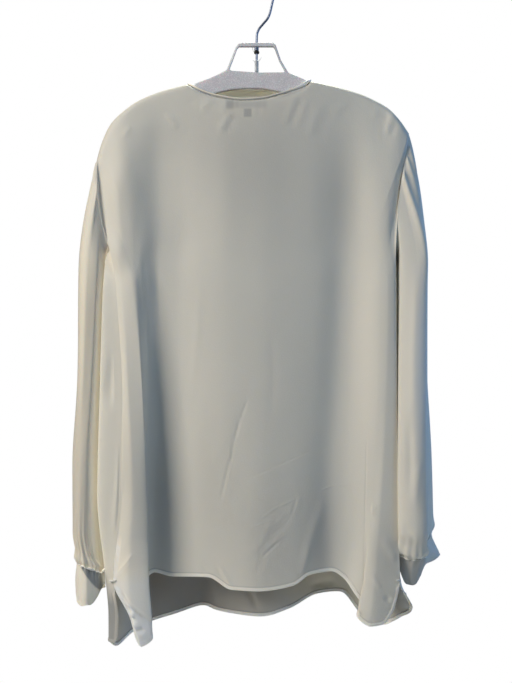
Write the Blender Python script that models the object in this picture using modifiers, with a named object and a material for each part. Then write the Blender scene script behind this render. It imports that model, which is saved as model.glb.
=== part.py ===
"""A silk blouse on the hanger that holds it, seen from its back. Metres, +Z up.

The origin is inside the top of the hook, where a rail bears on it. X runs across the shoulders and
-Y is the side of the blouse's back. Cloth pieces are walls through fold lines: each row of a table is
one fold line, with its place across the blouse and its distance out from the hanger at named heights.
Heights in the tables are millimetres down from the origin, and widths are millimetres from the hook.
"""

import math

import bmesh
import bpy
import numpy as np

MM = 0.001

# ---- driving dimensions, millimetres ----
WALL = 1.1                # thickness of the cloth walls
SEAM = 0.4                # gap between pieces at a seam
ARM_SEAM = 1.4            # the same at the armholes, where the two walls lean towards each other
SIDE_SEAM_LEFT = 0.8      # the same at the side seams
SIDE_SEAM_RIGHT = 1.3
SHOULDER_ROUND = 7.0      # half the width of the cloth where it turns over the hanger's arm
TIP_ROUND = 12.0          # the same beyond the arm's end
VENT_TOP = 905.0          # height at which the side seams end and the vents begin
WIRE = 3.5                # diameter of the hook's wire
HOOK_RADIUS = 27.75       # radius of the hook's loop, at the middle of the wire
HOOK_TIP_ANGLE = -110.0   # degrees round the loop from its top to its free end
HOOK_NECK_ANGLE = 117.0   # degrees round the loop from its top to where its neck starts
STEM_END = 148.3          # height of the stem's lower end
HANGER_THICK = 8.0        # front to back, the hanger's plate, arms and strap
HANGER_UNDER = 3.6        # how far the hanger's arms lie below the shoulder seams
BINDING_THICK = 2.6
LABEL_WALL = 1.0
LABEL_INSIDE = 0.7        # gap between the back's wall and what is sewn inside it

# Heights down from the origin at which each fold line of the body is given.
BODY_HEIGHTS = (440, 480, 640, 780, 905, 960, 1015)

# Shoulder seams, from the sleeve up to the neck: x, down.
SHOULDER_SEAM = {
    "left": ((-235, 262), (-230, 248), (-219, 226), (-199, 206), (-177, 191), (-146, 178), (-104, 167)),
    "right": ((228, 240), (216, 222.5), (197, 202.5), (177.5, 191), (152.5, 180), (123.5, 171.5), (81.5, 162)),
}

# Armhole seams, from the shoulder's end round the back to the underarm and up the front: x, y, down.
ARMHOLE = {
    "left": ((-235, 0, 262), (-238, -13, 294), (-236.5, -19, 334), (-231, -17, 372), (-221, -8, 407),
             (-227, 6, 388), (-235, 17, 342), (-238, 13, 296), (-235, 0, 262)),
    "right": ((228, 0, 240), (222, -13, 274), (214, -20, 316), (209, -17, 364), (206, -6, 414),
              (208.5, 9, 388), (213.5, 18, 334), (222, 13, 278), (228, 0, 240)),
}

# Neck edges of the panels, left to right: x, y, down, then the binding's height above them.
NECKLINE = {
    "back": ((-104, 0, 167, 3), (-94, -8, 174.5, 6), (-60, -15.5, 190, 4.5), (-20, -19.5, 197, 4.5),
             (8, -19, 195, 4.5), (34, -16, 187.5, 4.5), (56, -12, 179.5, 5), (73, -8, 171, 9),
             (81.5, 0, 162, 4)),
    "front": ((-104, 0, 167, 3), (-94, 8, 170, 4.5), (-60, 12, 172, 4.5), (-20, 15, 173, 4.5),
              (8, 15, 173, 4.5), (34, 13, 171, 4.5), (56, 11, 168.5, 5), (73, 8, 165.5, 6), (81.5, 0, 162, 4)),
}

# The back's fold lines from the left side seam to the right one: name, hem height,
# then x at each body height, then the distance out towards the back at each.
BACK_FOLDS = (
    ("side_seam_left", 992, (-213, -209, -201, -205, -213, -192, -160), (11, 14, 22, 24, 24, 28, 32)),
    ("flap_left", 999, (-205, -199, -188, -184, -184, -176, -164), (20, 24, 36, 43, 43, 43, 43)),
    ("fold_edge_left", 995, (-193, -186, -171, -164, -158, -154, -152), (25, 28, 36, 38, 37, 36, 36)),
    ("fold_back_left", 966, (-180, -175, -167, -168, -168, -168, -168), (22, 24, 28, 27, 25, 24, 24)),
    ("valley_left", 925, (-169, -163, -163, -170, -171, -171, -171), (15, 15, 14, 12, 10, 10, 10)),
    ("floor_left", 897, (-150, -146, -144, -150, -153, -153, -153), (10, 9, 6, 4, 4, 4, 4)),
    ("slope_left", 903, (-124, -121, -118, -120, -122, -122, -122), (14, 14, 13, 11, 10, 10, 10)),
    ("ridge_left", 902, (-83, -80, -76, -74, -74, -74, -74), (24, 26, 28, 27, 23, 22, 22)),
    ("middle_left", 919, (-43, -40, -38, -37, -37, -37, -37), (25, 27, 29, 31, 33, 33, 33)),
    ("middle", 920, (3, 4, 4, 4, 4, 4, 4), (23, 24, 26, 30, 34, 34, 34)),
    ("middle_right", 912.5, (43, 43, 44, 48, 54, 56, 56), (18, 18, 20, 24, 29, 30, 30)),
    ("slope_right", 898, (80, 80, 78, 79, 80, 80, 80), (11, 11, 12, 14, 16, 16, 16)),
    ("valley_right", 894.5, (114, 113, 111, 110, 110, 110, 110), (8, 8, 7, 6, 5, 5, 5)),
    ("rise_right", 904, (140, 138, 135, 133, 131, 130, 130), (14, 15, 14, 12, 10, 10, 10)),
    ("ridge_right", 930, (161, 158, 153, 153, 151, 149, 148), (22, 23, 22, 18, 15, 14, 14)),
    ("turn_right", 948, (171, 168, 165, 167, 165, 163, 162), (25, 27, 26, 21, 20, 20, 20)),
    ("fold_edge_right", 957, (182, 178, 169, 159, 153, 148, 145), (27, 29, 29, 28, 28, 28, 28)),
    ("flap_inner_right", 971, (192, 189, 183, 177, 171, 168, 166), (26, 27, 28, 31, 34, 34, 33)),
    ("flap_outer_right", 965, (201, 201, 200, 197, 194, 189, 186), (19, 20, 20, 24, 28, 30, 30)),
    ("side_seam_right", 957, (206, 206, 207, 208.5, 211, 203, 196), (7, 8, 8, 12, 17, 21, 23)),
)
# The rows of the back at which its top edge turns from one seam to the next.
BACK_CORNERS = (0, 4, 8, 11, 15, 19)

# The front's fold lines, left side seam to right, in the same form, out towards the front. Its side
# seams and the back's have the same places down to the top of the vents.
FRONT_FOLDS = (
    ("side_seam_left", 1006, (-213, -209, -201, -205, -213, -202, -214), (-11, -14, -22, -24, -24, -22, -18)),
    ("edge_left", 1008, (-224, -227, -234, -237, -225, -221, -221), (0, -3, -5, -6, -8, -9, -10)),
    ("wrap_left", 1007, (-220, -221, -222, -223, -215, -211, -210), (13, 12, 15, 17, 10, 7, 5)),
    ("side_left", 996, (-201, -196, -196, -198, -194, -192, -190), (19, 21, 28, 34, 34, 32, 30)),
    ("ridge_left", 982, (-169, -163, -164, -166, -164, -163, -162), (22, 25, 36, 44, 47, 47, 47)),
    ("valley_left", 969, (-129, -126, -128, -128, -127, -127, -127), (19, 21, 29, 35, 38, 38, 38)),
    ("rise_left", 958, (-85, -84, -84, -83, -83, -83, -83), (22, 24, 36, 46, 52, 52, 52)),
    ("middle_left", 964, (-43, -42, -44, -50, -58, -61, -62), (23, 25, 33, 40, 44, 44, 44)),
    ("middle", 972, (4, 5, 5, 5, 5, 5, 5), (22, 23, 29, 34, 36, 36, 36)),
    ("middle_right", 961, (50, 48, 49, 50, 50, 50, 50), (20, 22, 30, 38, 42, 42, 42)),
    ("ridge_right", 941, (91, 90, 91, 92, 92, 92, 92), (20, 22, 34, 46, 54, 54, 54)),
    ("slope_right", 935, (129, 128, 128, 128, 128, 128, 128), (19, 21, 30, 38, 42, 42, 42)),
    ("valley_right", 946, (163, 160, 160, 160, 160, 160, 160), (18, 19, 27, 34, 36, 36, 36)),
    ("side_right", 988, (185, 182, 184, 186, 190, 191, 191), (19, 18, 23, 27, 28, 27, 26)),
    ("wrap_right", 971, (199, 198, 201, 205, 210, 209, 208), (15, 13, 15, 18, 18, 15, 13)),
    ("edge_right", 960, (207.5, 208, 208.5, 209.5, 212, 228, 234), (5, 3, 3, 3, 0, 4, 5)),
    ("side_seam_right", 950, (206, 206, 207, 208.5, 212.5, 250, 262), (-7, -8, -8, -12, -17, -7, -3)),
)
FRONT_CORNERS = (0, 4, 7, 9, 12, 16)

# Heights at which each fold line of a sleeve is given.
SLEEVE_HEIGHTS = (440, 600, 740, 830)

# Fold lines round each sleeve, from the shoulder's end round by the back: name, x and y at each sleeve
# height, then the cuff seam's x, y and height, then the x, y and height of the cuff's lower edge.
SLEEVE_FOLDS = {
    "left": (
        ("outer", (-264, -267, -276, -275), (2, 4, 5, 5), (-267, 3, 878), (-270, 4, 928)),
        ("near_outer", (-259, -262, -269, -270), (-22, -27, -33, -34), (-263, -24, 880), (-262, -24, 939)),
        ("near", (-247, -253, -258, -259), (-32, -40, -47, -49), (-252, -40, 884), (-254, -41, 944)),
        ("near_inner", (-236, -243, -248, -247), (-20, -22, -26, -30), (-240, -24, 892), (-239, -26, 934)),
        ("inner", (-231, -238, -242, -240), (-1, 2, 4, 4), (-235, 2, 899), (-231, 3, 926)),
        ("far_inner", (-230, -233, -235, -234), (21, 30, 36, 38), (-233, 30, 894), (-232, 31, 928)),
        ("far", (-245, -250, -255, -256), (40, 58, 72, 74), (-251, 52, 886), (-251, 54, 936)),
        ("far_outer", (-259, -265, -271, -271), (26, 34, 40, 42), (-263, 32, 880), (-265, 33, 938)),
    ),
    "right": (
        ("outer", (250, 248, 249, 250), (3, 6, 6, 6), (249, 6, 866), (252, 8, 898)),
        ("near_outer", (252, 252, 251, 252), (-22, -27, -31, -32), (250, -22, 871), (240, -24, 905)),
        ("near", (237, 234, 232, 233), (-34, -44, -50, -50), (233, -38, 876), (226, -40, 914)),
        ("near_inner", (220, 216, 215, 215), (-26, -32, -38, -38), (214, -24, 868), (216, -26, 904)),
        ("inner", (211, 212, 213, 214), (-3, -3, -4, -4), (214, 0, 862), (215, 2, 893)),
        ("far_inner", (210, 209, 210, 212), (22, 30, 36, 38), (222, 32, 846), (232, 36, 884)),
        ("far", (231, 238, 244, 247), (44, 58, 72, 74), (251, 54, 836), (270, 60, 880)),
        ("far_outer", (249, 257, 265, 267), (26, 32, 37, 38), (265, 32, 843), (281, 36, 879)),
    ),
}
ROUND_STEPS = 3           # grid steps from one sleeve fold line to the next

# Pleats at the sleeve head: side, where it starts round the armhole (0 at the shoulder's end, 0.25 at
# the middle of the back), how far round it drifts by its end, its length down and its height out.
HEAD_PLEATS = (
    ("left", 0.085, -0.02, 120, 3.0),
    ("left", 0.21, 0.01, 90, 2.4),
    ("left", 0.80, 0.0, 110, 2.6),
    ("left", 0.92, 0.0, 120, 2.8),
    ("right", 0.085, -0.01, 130, 3.2),
    ("right", 0.21, -0.05, 170, 4.2),
    ("right", 0.80, 0.03, 120, 2.8),
    ("right", 0.92, 0.0, 120, 2.8),
)
PLEAT_WIDTH = 0.032       # half width of a pleat, as a share of the way round
HEAD_FULLNESS = {"left": (3.5, 110.0), "right": (5.5, 55.0)}  # how far the head puffs out, and how far down
GATHERS = 12              # gathers round each cuff seam
GATHER_HEIGHT = 1.9
GATHER_REACH = 46.0       # how far up the sleeve they die away

ARM_DROPS = (0.0, 0.25, 1.7, 7.0, 16.0)  # the first rows of a panel below a shoulder seam
HOLE_DROPS = (0.0, 14.0, 28.0, 43.0, 60.0)  # the same rows below an armhole seam
PANEL_ROWS = 18           # the further rows, down to the hem
NECK_CROWDING = 0.2       # how much the columns crowd towards the ends of the neck edge
SLEEVE_ROWS = 15
CUFF_ROWS = 3

# Blank label and size tab sewn inside the back of the neck: left, right, then down from the neck edge.
LABELS = (
    ("neck_label", -46, 14, 1.5, 9.0, 6),
    ("size_tab", -19, -8.5, 10.0, 20.5, 2),
)


# ---- smooth curves and cloth walls ----

def through(knots, values, at):
    """A smooth curve through values at knots that never runs past them between two of them.

    knots and values are (K, N), at is (M, N), and each of the N columns is its own curve. Every slope
    is the harmonic mean of its two neighbours' and is nought at a ridge or a valley, so a fold line
    stays the highest or the lowest line of its fold.
    """
    knots, values, at = (np.asarray(a, dtype=float) for a in (knots, values, at))
    step = np.diff(knots, axis=0)
    rise = np.diff(values, axis=0) / step
    slope = np.empty_like(values)
    slope[0], slope[-1] = rise[0], rise[-1]
    a, b = rise[:-1], rise[1:]
    total = np.where(a * b > 0, a + b, 1.0)
    slope[1:-1] = np.where(a * b > 0, 2 * a * b / total, 0.0)
    span = sum((at >= knots[k]).astype(int) for k in range(1, len(knots) - 1))
    span = np.asarray(span) + np.zeros(at.shape, dtype=int)
    column = np.arange(values.shape[1])[None, :]
    h = step[span, column]
    t = (at - knots[span, column]) / h
    below, above = values[span, column], values[span + 1, column]
    low, high = slope[span, column] * h, slope[span + 1, column] * h
    return (below * (1 + 2 * t) * (1 - t) ** 2 + low * t * (1 - t) ** 2
            + above * t * t * (3 - 2 * t) + high * t * t * (t - 1))


def along(points, at):
    """Points (M, D) on the smooth curve through evenly numbered points, at shares 0 to 1 of its length."""
    points = np.asarray(points, dtype=float)
    knots = np.linspace(0.0, 1.0, len(points))[:, None] + np.zeros(points.shape)
    return through(knots, points, np.asarray(at, dtype=float)[:, None] + np.zeros((1, points.shape[1])))


def ease(count, crowding):
    """count + 1 shares from 0 to 1 that crowd towards both ends as crowding goes from 0 to 1."""
    s = np.linspace(0.0, 1.0, count + 1)
    return (1 - crowding) * s + crowding * (1 - np.cos(math.pi * s)) / 2


def shoulder_edge(side, at):
    """Points on a shoulder seam, 0 at the sleeve and 1 at the neck. The seam lies over the hanger."""
    x, down = along(SHOULDER_SEAM[side], at).T
    return np.stack([x, np.zeros_like(x), down], axis=1)


def top_edge(panel, corners):
    """The top edge of a panel, left underarm to right underarm: its row numbers and its points.

    It goes up the left armhole, along the shoulder, the neck and the other shoulder, and down the
    right armhole. Each stretch has the same shares along its seam as the piece sewn to it.
    """
    arm = np.linspace(0.0, 0.5, 4 * ROUND_STEPS + 1)
    shoulder = ease(8 if panel == "back" else 6, 0.3)
    neck = ease(12, NECK_CROWDING)
    up, down = (0.5 - arm, arm) if panel == "back" else (0.5 + arm, 1 - arm)
    stretches = (
        (np.linspace(0, 1, len(arm)), along(ARMHOLE["left"], up)),
        (shoulder, shoulder_edge("left", shoulder)),
        (neck, along(NECKLINE[panel], neck)[:, :3]),
        (shoulder, shoulder_edge("right", 1 - shoulder)),
        (np.linspace(0, 1, len(arm)), along(ARMHOLE["right"], down)),
    )
    rows, points = [], []
    for (share, place), first, last in zip(stretches, corners[:-1], corners[1:]):
        keep = slice(None) if first == corners[-2] else slice(None, -1)
        rows.append(first + share[keep] * (last - first))
        points.append(place[keep])
    return np.concatenate(rows), np.concatenate(points)


def panel_points(panel, rows, top, folds, drop):
    """Points (V, U, 3) of a panel: drop (V, U) millimetres below its top edge, at its row numbers.

    Between fold lines and between heights the cloth follows smooth curves. Where its edge lies over
    the hanger's arm it starts flat there and turns down through a quarter round.
    """
    table = np.array([(*xs, *outs) for _, _, xs, outs in folds], dtype=float)
    index = np.arange(len(folds), dtype=float)[:, None] + np.zeros(table.shape)
    fine = through(index, table, rows[:, None] + np.zeros((1, table.shape[1]))).T
    count = len(BODY_HEIGHTS)
    side = -1.0 if panel == "back" else 1.0
    over_arm = top[:, 2] < ARMHOLE["left"][1][2]
    edge_out = np.where(over_arm, np.maximum(side * top[:, 1], 0.25), side * top[:, 1])
    past_arm = np.clip((np.abs(top[:, 0]) - 185) / 43, 0.0, 1.0)
    full_out = SHOULDER_ROUND + (TIP_ROUND - SHOULDER_ROUND) * past_arm
    full_out = np.where(over_arm, np.maximum(edge_out, full_out), edge_out)
    knots = np.vstack([top[None, :, 2]] + [np.full((1, len(rows)), float(h)) for h in BODY_HEIGHTS])
    heights = top[None, :, 2] + drop
    x = through(knots, np.vstack([top[None, :, 0], fine[:count]]), heights)
    out = through(knots, np.vstack([full_out[None, :], fine[count:]]), heights)
    turn = np.clip(drop / np.maximum(full_out, SHOULDER_ROUND), 0.0, 1.0)
    round_over = np.sqrt(1 - (1 - turn) ** 2)
    out = out - (full_out - edge_out)[None, :] * (1 - round_over)
    return np.stack([x, side * out, -heights], axis=2)


def panel_grid(panel, folds, corners):
    """The whole panel as a grid of points, with rows close together near the top."""
    rows, top = top_edge(panel, corners)
    hems = np.array([[row[1]] for row in folds], dtype=float)
    index = np.arange(len(folds), dtype=float)[:, None]
    hem = through(index, hems, rows[:, None])[:, 0]
    hole = np.clip(np.maximum(corners[1] - rows, rows - corners[-2]), 0.0, 1.0)
    first = np.outer(ARM_DROPS, 1 - hole) + np.outer(HOLE_DROPS, hole)
    share = np.linspace(0.0, 1.0, PANEL_ROWS + 1)[1:, None] ** 1.2
    rest = first[-1] + share * (hem - top[:, 2] - first[-1])
    return panel_points(panel, rows, top, folds, np.vstack([first, rest]))


def outward(grid, flip):
    """Unit normals of a grid of points, from its two directions' differences."""
    down = np.gradient(grid, axis=0)
    across = np.gradient(grid, axis=1)
    normal = np.cross(down, across) * (-1.0 if flip else 1.0)
    return normal / np.maximum(np.linalg.norm(normal, axis=2, keepdims=True), 1e-9)


def round_differences(grid, flip):
    """The same for a tube, whose last column is next to its first."""
    wrapped = np.concatenate([grid[:, -1:], grid, grid[:, :1]], axis=1)
    return outward(wrapped, flip)[:, 1:-1]


def sleeve_grid(side):
    """A sleeve as a grid of points round and down, from the armhole seam to the cuff seam.

    The head is pleated: each pleat is a soft ridge that leaves the seam, drifts round and dies away.
    The wrist is gathered: ridges and troughs that grow towards the cuff.
    """
    sign = -1.0 if side == "left" else 1.0
    folds = SLEEVE_FOLDS[side]
    around = np.arange(len(folds) * ROUND_STEPS) / (len(folds) * ROUND_STEPS)
    top = along(ARMHOLE[side], around)
    lean = np.cos(2 * math.pi * around)
    top = top + np.stack([sign * ARM_SEAM + 0 * lean, 0 * lean, SEAM * (0.8 + 0.8 * lean)], axis=1)
    table = np.array([(*xs, *ys, *seam) for _, xs, ys, seam, _ in folds], dtype=float)
    closed = np.vstack([table[-2:], table, table[:3]])
    index = np.arange(-2, len(folds) + 3, dtype=float)[:, None] + np.zeros(closed.shape)
    fine = through(index, closed, around[:, None] * len(folds) + np.zeros((1, closed.shape[1])))
    count = len(SLEEVE_HEIGHTS)
    share = ease(SLEEVE_ROWS, 0.45)[:, None]
    end = fine[:, -1]
    heights = top[None, :, 2] + share * (end - top[:, 2])[None, :]
    knots = np.vstack([top[None, :, 2]] + [np.full((1, len(around)), float(h)) for h in SLEEVE_HEIGHTS]
                      + [end[None, :]])
    x = through(knots, np.vstack([top[None, :, 0], fine[:, :count].T, fine[None, :, -3]]), heights)
    y = through(knots, np.vstack([top[None, :, 1], fine[:, count:2 * count].T, fine[None, :, -2]]), heights)
    grid = np.stack([x, y, -heights], axis=2)
    below = heights - top[None, :, 2]
    relief = np.zeros(grid.shape[:2])
    for pleat_side, start, drift, length, height in HEAD_PLEATS:
        if pleat_side == side:
            place = start + drift * below / length
            off = (around[None, :] - place + 0.5) % 1.0 - 0.5
            fade = np.clip(below / 8, 0, 1) * np.clip(1 - below / length, 0, 1)
            relief += height * fade * np.exp(-(off / PLEAT_WIDTH) ** 2)
    above = end[None, :] - heights
    puff, reach = HEAD_FULLNESS[side]
    relief += puff * np.maximum(lean, 0)[None, :] * (below / reach) * np.exp(1 - below / reach)
    wave = np.cos(2 * math.pi * GATHERS * around)[None, :]
    relief += GATHER_HEIGHT * wave * np.exp(-above / GATHER_REACH) * np.clip(above / 6, 0.25, 1)
    return grid + round_differences(grid, side == "right") * relief[:, :, None]


def cuff_grid(side, seam):
    """A cuff as a band from just below the sleeve's lower ring to its own lower edge."""
    folds = SLEEVE_FOLDS[side]
    around = np.arange(len(folds) * ROUND_STEPS) / ROUND_STEPS
    table = np.array([edge for *_, edge in folds], dtype=float)
    closed = np.vstack([table[-2:], table, table[:3]])
    index = np.arange(-2, len(folds) + 3, dtype=float)[:, None] + np.zeros(closed.shape)
    edge = through(index, closed, around[:, None] + np.zeros((1, 3)))
    upper = seam - np.array([0, 0, SEAM + WALL * 0.35])
    lower = edge * np.array([1, 1, -1])
    share = np.linspace(0, 1, CUFF_ROWS + 1)[:, None, None]
    return upper[None] * (1 - share) + lower[None] * share


# ---- mesh helpers ----

def material(name, colour, roughness, metallic=0.0):
    made = bpy.data.materials.new(name)
    made.use_nodes = True
    made.diffuse_color = (*colour, 1.0)
    shader = made.node_tree.nodes["Principled BSDF"]
    shader.inputs["Base Color"].default_value = (*colour, 1.0)
    shader.inputs["Roughness"].default_value = roughness
    shader.inputs["Metallic"].default_value = metallic
    return made


def add_object(name, mesh, finish, collection):
    made = bpy.data.objects.new(name, mesh)
    made.data.materials.append(finish)
    collection.objects.link(made)
    return made


def add_wall(name, grid, finish, collection, closed, flip, thickness=WALL):
    """A cloth wall: the grid is its outer face, and Solidify gives it its thickness inwards."""
    rows, columns = grid.shape[:2]
    number = np.arange(rows * columns).reshape(rows, columns)
    right = np.roll(number, -1, axis=1) if closed else number[:, 1:]
    left = number if closed else number[:, :-1]
    corners = (left[:-1], left[1:], right[1:], right[:-1])
    order = corners[::-1] if flip else corners
    quads = np.stack([c.ravel() for c in order], axis=1)
    mesh = bpy.data.meshes.new(name)
    mesh.from_pydata((grid.reshape(-1, 3) * MM).tolist(), [], quads.tolist())
    mesh.shade_smooth()
    made = add_object(name, mesh, finish, collection)
    wall = made.modifiers.new("wall", "SOLIDIFY")
    wall.thickness = thickness * MM
    wall.offset = -1.0
    return made


def plate_mesh(name, outline, depth):
    """A flat plate across X and Z from its outline in (x, down), centred on the hanger's plane."""
    count = len(outline)
    near = [(x * MM, -depth / 2 * MM, -down * MM) for x, down in outline]
    far = [(x, depth / 2 * MM, z) for x, _, z in near]
    sides = [(k, (k + 1) % count, (k + 1) % count + count, k + count) for k in range(count)]
    mesh = bpy.data.meshes.new(name)
    mesh.from_pydata(near + far, [], [tuple(range(count)), tuple(range(count, 2 * count))] + sides)
    work = bmesh.new()
    work.from_mesh(mesh)
    bmesh.ops.recalc_face_normals(work, faces=work.faces)
    work.to_mesh(mesh)
    work.free()
    return mesh


def add_plate(name, outline, depth, bevel, finish, collection):
    """The same as an object of its own, with its edges rounded."""
    mesh = plate_mesh(name, outline, depth)
    made = add_object(name, mesh, finish, collection)
    rounded = made.modifiers.new("rounded", "BEVEL")
    rounded.width = bevel * MM
    rounded.segments = 2
    rounded.limit_method = "ANGLE"
    rounded.angle_limit = math.radians(70)
    mesh.shade_smooth()
    return made


def add_turned(name, profile, finish, collection, steps=20):
    """A ring turned round the stem, from a closed profile of (radius, down), outer side top to bottom."""
    mesh = bpy.data.meshes.new(name)
    points = [(radius * MM, 0.0, -down * MM) for radius, down in profile]
    edges = [(k, (k + 1) % len(points)) for k in range(len(points))]
    mesh.from_pydata(points, edges, [])
    made = add_object(name, mesh, finish, collection)
    turned = made.modifiers.new("turned", "SCREW")
    turned.steps = steps
    turned.render_steps = steps
    turned.use_merge_vertices = True
    turned.merge_threshold = 0.00001
    turned.use_smooth_shade = True
    return made


# ---- the pieces ----

def build_panels(silk, collection):
    """Back and front: one wall each, from the shoulders to the hem, open at the side vents."""
    back = panel_grid("back", BACK_FOLDS, BACK_CORNERS)
    add_wall("back_panel", back, silk, collection, closed=False, flip=False)
    front = panel_grid("front", FRONT_FOLDS, FRONT_CORNERS)
    sewn = -back[:, 0, 2] <= VENT_TOP + 20
    front[sewn, 0] = back[sewn, 0]
    sewn = -back[:, -1, 2] <= VENT_TOP + 20
    front[sewn, -1] = back[sewn, -1]
    front[:, 0, 0] -= SIDE_SEAM_LEFT
    front[:, -1, 1] += SIDE_SEAM_RIGHT
    add_wall("front_panel", front, silk, collection, closed=False, flip=True)


def build_sleeves(silk, collection):
    """Each sleeve is one tube, open at both ends, and its cuff is a band under it."""
    for side in ("left", "right"):
        sleeve = sleeve_grid(side)
        flip = side == "right"
        add_wall(f"sleeve_{side}", sleeve, silk, collection, closed=True, flip=flip)
        cuff = cuff_grid(side, sleeve[-1])
        add_wall(f"cuff_{side}", cuff, silk, collection, closed=True, flip=flip)


def build_binding(silk, collection):
    """A narrow bias strip, rolled over the neck edge: a flattened ring just above the panels' edges."""
    shares = ease(12, NECK_CROWDING)
    back = along(NECKLINE["back"], shares)
    front = along(NECKLINE["front"], shares)
    path = np.vstack([back, front[-2:0:-1]])
    half = path[:, 3:] / 2
    path = path[:, :3] * np.array([1, 1, -1])
    ahead = np.roll(path, -1, axis=0) - np.roll(path, 1, axis=0)
    ahead /= np.linalg.norm(ahead, axis=1, keepdims=True)
    inward = np.cross(np.array([0.0, 0.0, 1.0]), ahead)
    inward /= np.linalg.norm(inward, axis=1, keepdims=True)
    turn = np.arange(8) / 8 * 2 * math.pi
    upward = np.array([0.0, 0.0, 1.0])
    middle = path + upward * (half + SEAM) + inward * (BINDING_THICK / 2)
    ring = (middle[:, None] + upward * half[:, :, None] * np.cos(turn)[None, :, None]
            + inward[:, None] * (BINDING_THICK / 2 * np.sin(turn))[None, :, None])
    count = len(path)
    number = np.arange(count * 8).reshape(count, 8)
    after, beside = np.roll(number, -1, axis=0), np.roll(number, -1, axis=1)
    both = np.roll(after, -1, axis=1)
    quads = np.stack([number.ravel(), beside.ravel(), both.ravel(), after.ravel()], axis=1)
    mesh = bpy.data.meshes.new("neck_binding")
    mesh.from_pydata((ring.reshape(-1, 3) * MM).tolist(), [], quads.tolist())
    work = bmesh.new()
    work.from_mesh(mesh)
    bmesh.ops.recalc_face_normals(work, faces=work.faces)
    work.to_mesh(mesh)
    work.free()
    mesh.shade_smooth()
    add_object("neck_binding", mesh, silk, collection)


def build_labels(finish, collection):
    """A blank label and size tab inside the back of the neck: the back's own points, moved inwards."""
    rows, top = top_edge("back", BACK_CORNERS)
    neck = (rows >= BACK_CORNERS[2]) & (rows <= BACK_CORNERS[3])
    for name, left, right, upper, lower, steps in LABELS:
        across = np.interp(np.linspace(left, right, steps + 1), top[neck, 0], rows[neck])
        edge = np.stack([np.interp(across, rows, top[:, k]) for k in range(3)], axis=1)
        drop = np.linspace(upper, lower, 3)[:, None] + np.zeros((1, len(across)))
        grid = panel_points("back", across, edge, BACK_FOLDS, drop)
        grid[:, :, 1] += WALL + LABEL_INSIDE
        add_wall(name, grid, finish, collection, closed=False, flip=False, thickness=LABEL_WALL)


def add_cutter(name, mesh, body, cutters):
    """A closed solid that is cut out of the body."""
    cutter = bpy.data.objects.new(name, mesh)
    cutters.objects.link(cutter)
    cutter.hide_render = True
    cutter.display_type = "WIRE"
    cut = body.modifiers.new(name, "BOOLEAN")
    cut.operation = "DIFFERENCE"
    cut.solver = "EXACT"
    cut.object = cutter


def build_hanger(plastic, steel, black, clear, collection):
    """Plate, arms and the strap over the plate moulded in one, and a wire hook through the strap."""
    left = [(x, down + HANGER_UNDER) for x, down in SHOULDER_SEAM["left"][3:6]]
    right = [(x, down + HANGER_UNDER) for x, down in SHOULDER_SEAM["right"][3:6]]
    outline = (
        [(-208, 243), (-216, 242), (-218, 234), (-213, 224)] + left
        + [(-107, 172), (-98, 175), (-94.5, 171), (-93, 165.5), (-69, 156.4), (-57, 151), (-45, 144.5)]
        + [(-32, 112.5), (-28.5, 106.5), (-24, 104), (24.5, 104), (28.5, 107), (31, 114.5), (36.5, 130.5)]
        + [(47.5, 148.7), (58, 153.2), (69, 157.8), (73.5, 160), (75, 168), (79, 171)]
        + right[::-1] + [(205, 216), (209, 224), (204, 229), (190, 223), (150, 208), (100, 195), (65, 188)]
        + [(36, 178.2), (23, 175.9), (8, 173.4), (-17, 173.2), (-38, 175), (-61, 180)]
        + [(-85, 189), (-120, 202), (-165, 219)]
    )
    body = add_plate("hanger_body", outline, HANGER_THICK, 2.0, plastic, collection)
    cutters = bpy.data.collections.new("cutters")
    bpy.context.scene.collection.children.link(cutters)
    opening = plate_mesh(
        "opening",
        [(-37, 146.5), (-41, 144.3), (-29.3, 112.6), (-26.3, 109.9), (25, 109.9), (27, 112.6), (33.6, 130.6),
         (42, 146.5), (41, 148.8), (6, 149.2), (-6, 148.6)],
        3 * HANGER_THICK,
    )
    add_cutter("opening", opening, body, cutters)
    bore = WIRE / 2 + 0.35
    hole = bpy.data.meshes.new("stem_hole")
    work = bmesh.new()
    bmesh.ops.create_cone(work, cap_ends=True, segments=20, radius1=bore * MM, radius2=bore * MM,
                          depth=12 * MM)
    bmesh.ops.translate(work, vec=(0, 0, -107 * MM), verts=work.verts)
    work.to_mesh(hole)
    work.free()
    add_cutter("stem_hole", hole, body, cutters)

    loop = np.radians(np.linspace(HOOK_TIP_ANGLE, HOOK_NECK_ANGLE, 30))
    middle = HOOK_RADIUS - WIRE / 2
    loop_points = [(HOOK_RADIUS * math.sin(a), middle - HOOK_RADIUS * math.cos(a)) for a in loop]
    neck = along(((24.7, 38.6), (22.4, 48.5), (20.4, 57.5), (17.0, 66.5), (10.0, 75.2), (3.2, 83.8),
                  (0.4, 92.0), (0.0, 100.0)), np.linspace(0.08, 1, 16))
    path = loop_points + [tuple(p) for p in neck] + [(0.0, 124.0), (0.0, STEM_END)]
    curve = bpy.data.curves.new("hook_wire", "CURVE")
    curve.dimensions = "3D"
    curve.bevel_depth = WIRE / 2 * MM
    curve.bevel_resolution = 2
    curve.use_fill_caps = True
    spline = curve.splines.new("POLY")
    spline.points.add(len(path) - 1)
    for point, (x, down) in zip(spline.points, path):
        point.co = (x * MM, 0.0, -down * MM, 1.0)
    spline.use_smooth = True
    add_object("hook_wire", curve, steel, collection)

    add_turned("hook_collar", ((2.6, 110.3), (3.1, 111.2), (3.1, 115.8), (bore, 115.8), (bore, 110.3)),
               steel, collection)
    add_turned("hook_ring", ((3.4, 116.2), (4.0, 117.4), (4.0, 119.2), (3.4, 120.4), (bore, 120.4),
                             (bore, 116.2)), black, collection)
    add_turned("stem_sleeve", ((3.2, 131.0), (3.2, 148.3), (bore, 148.3), (bore, 131.0)), clear, collection)


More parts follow.
